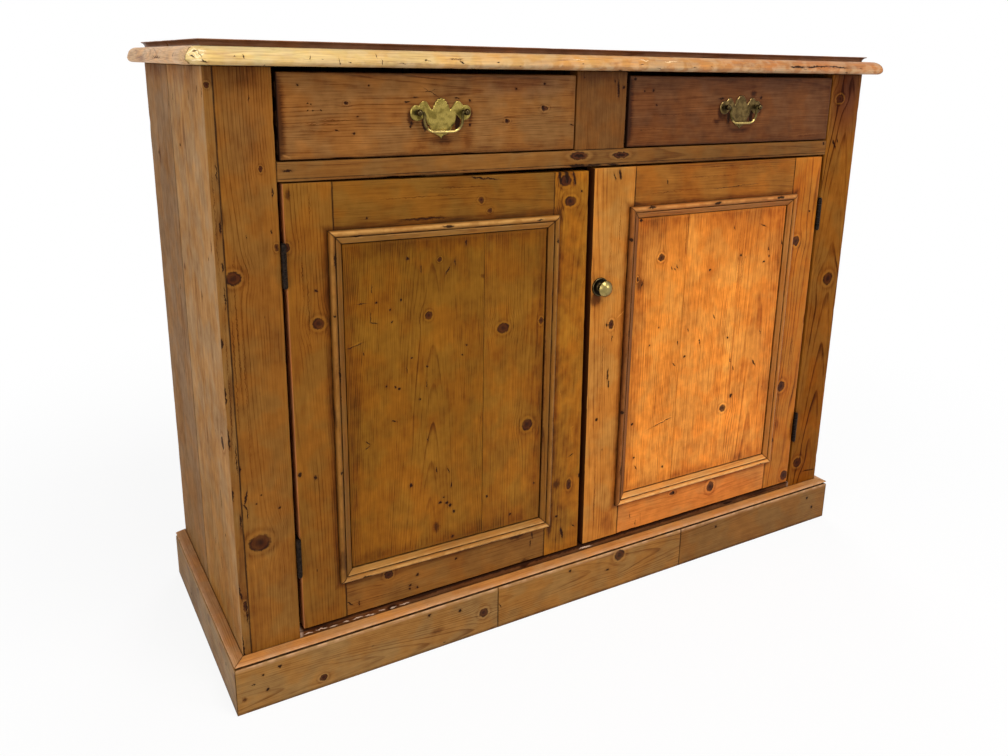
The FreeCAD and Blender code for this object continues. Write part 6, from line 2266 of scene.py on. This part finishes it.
@dataclass
class Inside(SubAssembly):
    """Hinges, bolt, floor, shelf, back and the boards that carry them."""

    floor_top: float = 92.0
    floor_foot: float = 72.0
    floor_nose: float = -187.0
    floor_joint: float = 17.0
    floor_back: float = 200.0
    floor_half: float = 567.0
    floor_gap: float = 0.2
    back_half: float = 573.0
    back_foot: float = 20.0
    back_count: int = 6
    back_gap: float = 0.15
    boards: tuple[str, ...] = (
        "bearers", "bottom_rail", "drawer_guides", "drawer_runners", "shelf_boards", "stop_blocks",
    )
    fittings: tuple[str, ...] = ("hinge_carcass_leaves", "hinge_pins", "bolt", "bolt_plate")

    def floor(self) -> dict[str, Plank]:
        """Boards of the cupboard floor, the front edge broken under the doors.

        Returns:
            The boards by name.
        """
        low, high, half = self.floor_foot, self.floor_top, self.floor_half
        level = {"face": Face.TOP, "grain": Grain.LEVEL}
        near, far = self.floor_joint - self.floor_gap, self.floor_joint + self.floor_gap
        return {
            "floor_nose": Plank(
                (OPENING_LEFT, self.floor_nose, low), (OPENING_RIGHT, FRAME_BACK, high), radius=2.0,
                wear=Wear(1.6, 4.2, 16.0), joints=((2, 1),), **level,
            ),
            "floor_front_board": Plank((-half, FRAME_BACK, low), (half, near, high), radius=0.6, **level),
            "floor_back_board": Plank((-half, far, low), (half, self.floor_back, high), radius=0.6, **level),
        }

    def back(self) -> dict[str, Plank]:
        """Upright boards of the back, from the left.

        Returns:
            The boards by name.
        """
        width, gap = 2 * self.back_half / self.back_count, self.back_gap
        made = {}
        for i in range(self.back_count):
            x0 = -self.back_half + i * width
            low = (x0 + gap, self.floor_back, self.back_foot)
            made[f"back_board_{i + 1}"] = Plank(
                low, (x0 + width - gap, BACK, CARCASS_HEIGHT), radius=1.6, soiled=(False, True),
                wear=Wear(0.4, 1.6, sag=0.0), joints=((0, -1), (0, 1)),
            )
        return made

    def build(self) -> None:
        """Make the floor and the back, and keep the other CAD pieces."""
        for node, boards in (("floor_boards", self.floor()), ("back_boards", self.back())):
            for name, board in boards.items():
                self.add(name, board.shape(name), node, "plain_pine")
        for nodes, bevel in ((self.boards, 0.6), (self.fittings, 0.3)):
            for node in nodes:
                self.keep(node, bevel)

    def dress(self) -> None:
        """Give the boards a plain dry pine and the fittings iron."""
        for name, face, place in (
            ("floor_front_board", Face.TOP, (0, -80, 92)), ("floor_back_board", Face.TOP, (0, 110, 92)),
            ("floor_nose", Face.FRONT, (0, -187, 84)), ("bearers", Face.SIDE, (0, 0, 250)),
            ("bottom_rail", Face.FRONT, (0, -170, 40)), ("drawer_guides", Face.SIDE, (0, 0, 770)),
            ("drawer_runners", Face.TOP, (0, 0, 766)), ("shelf_boards", Face.TOP, (0, 40, 420)),
            ("stop_blocks", Face.FRONT, (0, -150, 760)),
        ):
            grain = Grain.UPRIGHT if name == "drawer_runners" else Grain.LEVEL
            self.paint(name, pine_of(name, Lie(face, grain, place)))
        for i, (name, board) in enumerate(self.back().items()):
            middle, tint = board.lie().middle[0], math.sin(i * 1.9)
            nails = [hole(middle + x, z, 2.4) for x in (-60, 62) for z in (82 + 3 * i, 411, 872 - 2 * i)]
            high = 240 + 110 * i % 560
            knots = [knot(middle + 70 * math.sin(i * 2.1), high, 11), knot(middle - 40, 700 - 83 * i, 7)]
            heart = (45 * math.sin(i * 2.7), 40)
            pine = DRY.like((150 + 9 * tint, 108 + 7 * tint, 66), heart, lines=0.6, ring=3.4)
            self.paint(name, pine.material(name, board.lie(), nails + knots))
        for node in self.fittings:
            self.paint(node, IRON.material(node))


@dataclass
class Studio:
    """Pale floor, soft lamps, white surroundings and the camera."""

    floor_half: float = 8.0
    fade: Point = (0.7, 1.8)
    keep_shadow: float = 0.88           # share of white laid over the floor close to the cupboard
    ambient: float = 0.28
    eye: Triple = (-0.8092, -1.2866, 0.8899)
    yaw: float = 30.65
    pitch: float = -15.37
    roll: float = 1.03
    lens: float = 31.53
    shift: Point = (-0.00357, -0.0711)
    lamps: tuple[tuple[str, Triple, Triple, float, float], ...] = (
        ("key", (1.3, -2.3, 1.6), (0.15, -0.2, 0.4), 0.8, 19.0),
        ("fill", (-2.6, -1.6, 1.3), (-0.4, 0.0, 0.4), 1.6, 34.0),
        ("overhead", (-0.1, -1.65, 3.15), (0.0, -0.15, 0.45), 1.1, 56.0),
        ("rear", (1.5, 2.9, 1.7), (0.2, 0.2, 0.45), 1.6, 46.0),
    )

    def camera(self) -> None:
        """Place the camera at the photograph's angle."""
        yaw, pitch, roll = (math.radians(a) for a in (self.yaw, self.pitch, self.roll))
        ahead = Vector((math.cos(pitch) * math.sin(yaw), math.cos(pitch) * math.cos(yaw), math.sin(pitch)))
        right = Vector((math.cos(yaw), -math.sin(yaw), 0))
        up = right.cross(ahead)
        across = right * math.cos(roll) + up * math.sin(roll)
        upward = up * math.cos(roll) - right * math.sin(roll)
        data = bpy.data.cameras.new("camera")
        data.lens = self.lens
        data.sensor_width = 36.0
        data.shift_x, data.shift_y = self.shift
        made = bpy.data.objects.new("camera", data)
        turn = Matrix((across, upward, -ahead)).transposed()
        made.matrix_world = Matrix.Translation(self.eye) @ turn.to_4x4()
        bpy.context.scene.collection.objects.link(made)
        bpy.context.scene.camera = made

    def light(self) -> None:
        """Hang the soft lamps."""
        for name, place, target, size, power in self.lamps:
            data = bpy.data.lights.new(name, "AREA")
            data.size = size
            data.energy = power
            made = bpy.data.objects.new(name, data)
            made.location = place
            made.rotation_euler = (Vector(target) - Vector(place)).to_track_quat("-Z", "Y").to_euler()
            bpy.context.scene.collection.objects.link(made)

    @staticmethod
    def seen(tree: Tree) -> Socket:
        """Say whether a ray comes from the eye, by a mirror or through glass too."""
        path = tree.node("ShaderNodeLightPath", None, None, "Is Camera Ray")
        return path.most(path.output("Is Glossy Ray")).most(path.output("Is Transmission Ray"))

    def surroundings(self) -> None:
        """Make the world white to the eye and in reflections, and a plain soft light elsewhere."""
        world = bpy.data.worlds.new("surroundings")
        world.use_nodes = True
        bpy.context.scene.world = world
        tree = Tree(world.node_tree)
        strength = self.seen(tree) * (1 - self.ambient) + self.ambient
        back = tree.node("ShaderNodeBackground", None, {"Color": (1.0, 1.0, 1.0), "Strength": strength})
        tree.node("ShaderNodeOutputWorld", None, {"Surface": back})

    def floor(self) -> None:
        """Lay a pale floor that keeps the shadow and fades into the white surroundings."""
        half = self.floor_half
        mesh = bpy.data.meshes.new("floor")
        corners = [(-half, -half, 0), (half, -half, 0), (half, half, 0), (-half, half, 0)]
        mesh.from_pydata(corners, [], [(0, 1, 2, 3)])
        made = bpy.data.objects.new("floor", mesh)
        bpy.context.scene.collection.objects.link(made)
        paint, tree = new_material("pale_floor")
        place = tree.node("ShaderNodeTexCoord", None, None, "Object")
        far = place.length().ease(*self.fade) * (1 - self.keep_shadow) + self.keep_shadow
        pale = tree.node("ShaderNodeBsdfDiffuse", None, {"Color": (0.9, 0.9, 0.9)})
        white = tree.node("ShaderNodeEmission", None, {"Color": (1.0, 1.0, 1.0), "Strength": 1.0})
        mixed = tree.node("ShaderNodeMixShader", None, {0: far * self.seen(tree), 1: pale, 2: white})
        tree.node("ShaderNodeOutputMaterial", None, {"Surface": mixed})
        mesh.materials.append(paint)

    def build(self) -> None:
        """Set up everything round the cupboard."""
        bpy.context.scene.view_settings.view_transform = "Standard"
        self.camera()
        self.light()
        self.surroundings()
        self.floor()


def assemblies() -> list[SubAssembly]:
    """Every sub-assembly, in the order in which they are built.

    Returns:
        The sub-assemblies, each with its own sizes.
    """
    gold = replace(BRASS, bright=(158, 137, 70), dull=(92, 78, 32))
    dull = replace(BRASS, bright=(116, 95, 56), dull=(62, 48, 26))
    return [
        Carcass(), Top(), Plinth(),
        Door("left", -490.5, -14.2, (65.0, 65.8), (739.5, 735.0), (0.0, 7.6), (1.6, -3.0), -198.0),
        Door("right", -4.2, 497.0, (76.8, 68.0), (738.0, 738.0), (7.6, 0.0), (0.0, 0.0), 190.0),
        Drawer("left", -492.0, -48.5, (-268.45, 816.8), gold, True),
        Drawer("right", 50.5, 500.5, (284.3, 818.9), dull, False),
        Knob(), Inside(),
    ]


def main() -> None:
    """Build and dress every sub-assembly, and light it."""
    logging.basicConfig(level=logging.INFO, format="%(name)s: %(message)s")
    for part in assemblies():
        part.build()
        part.dress()
        for name, piece in part.pieces.items():
            LOG.info("%s: %s on %s", type(part).__name__, name, piece["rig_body"])
    Studio().build()


if __name__ == "__main__":
    main()
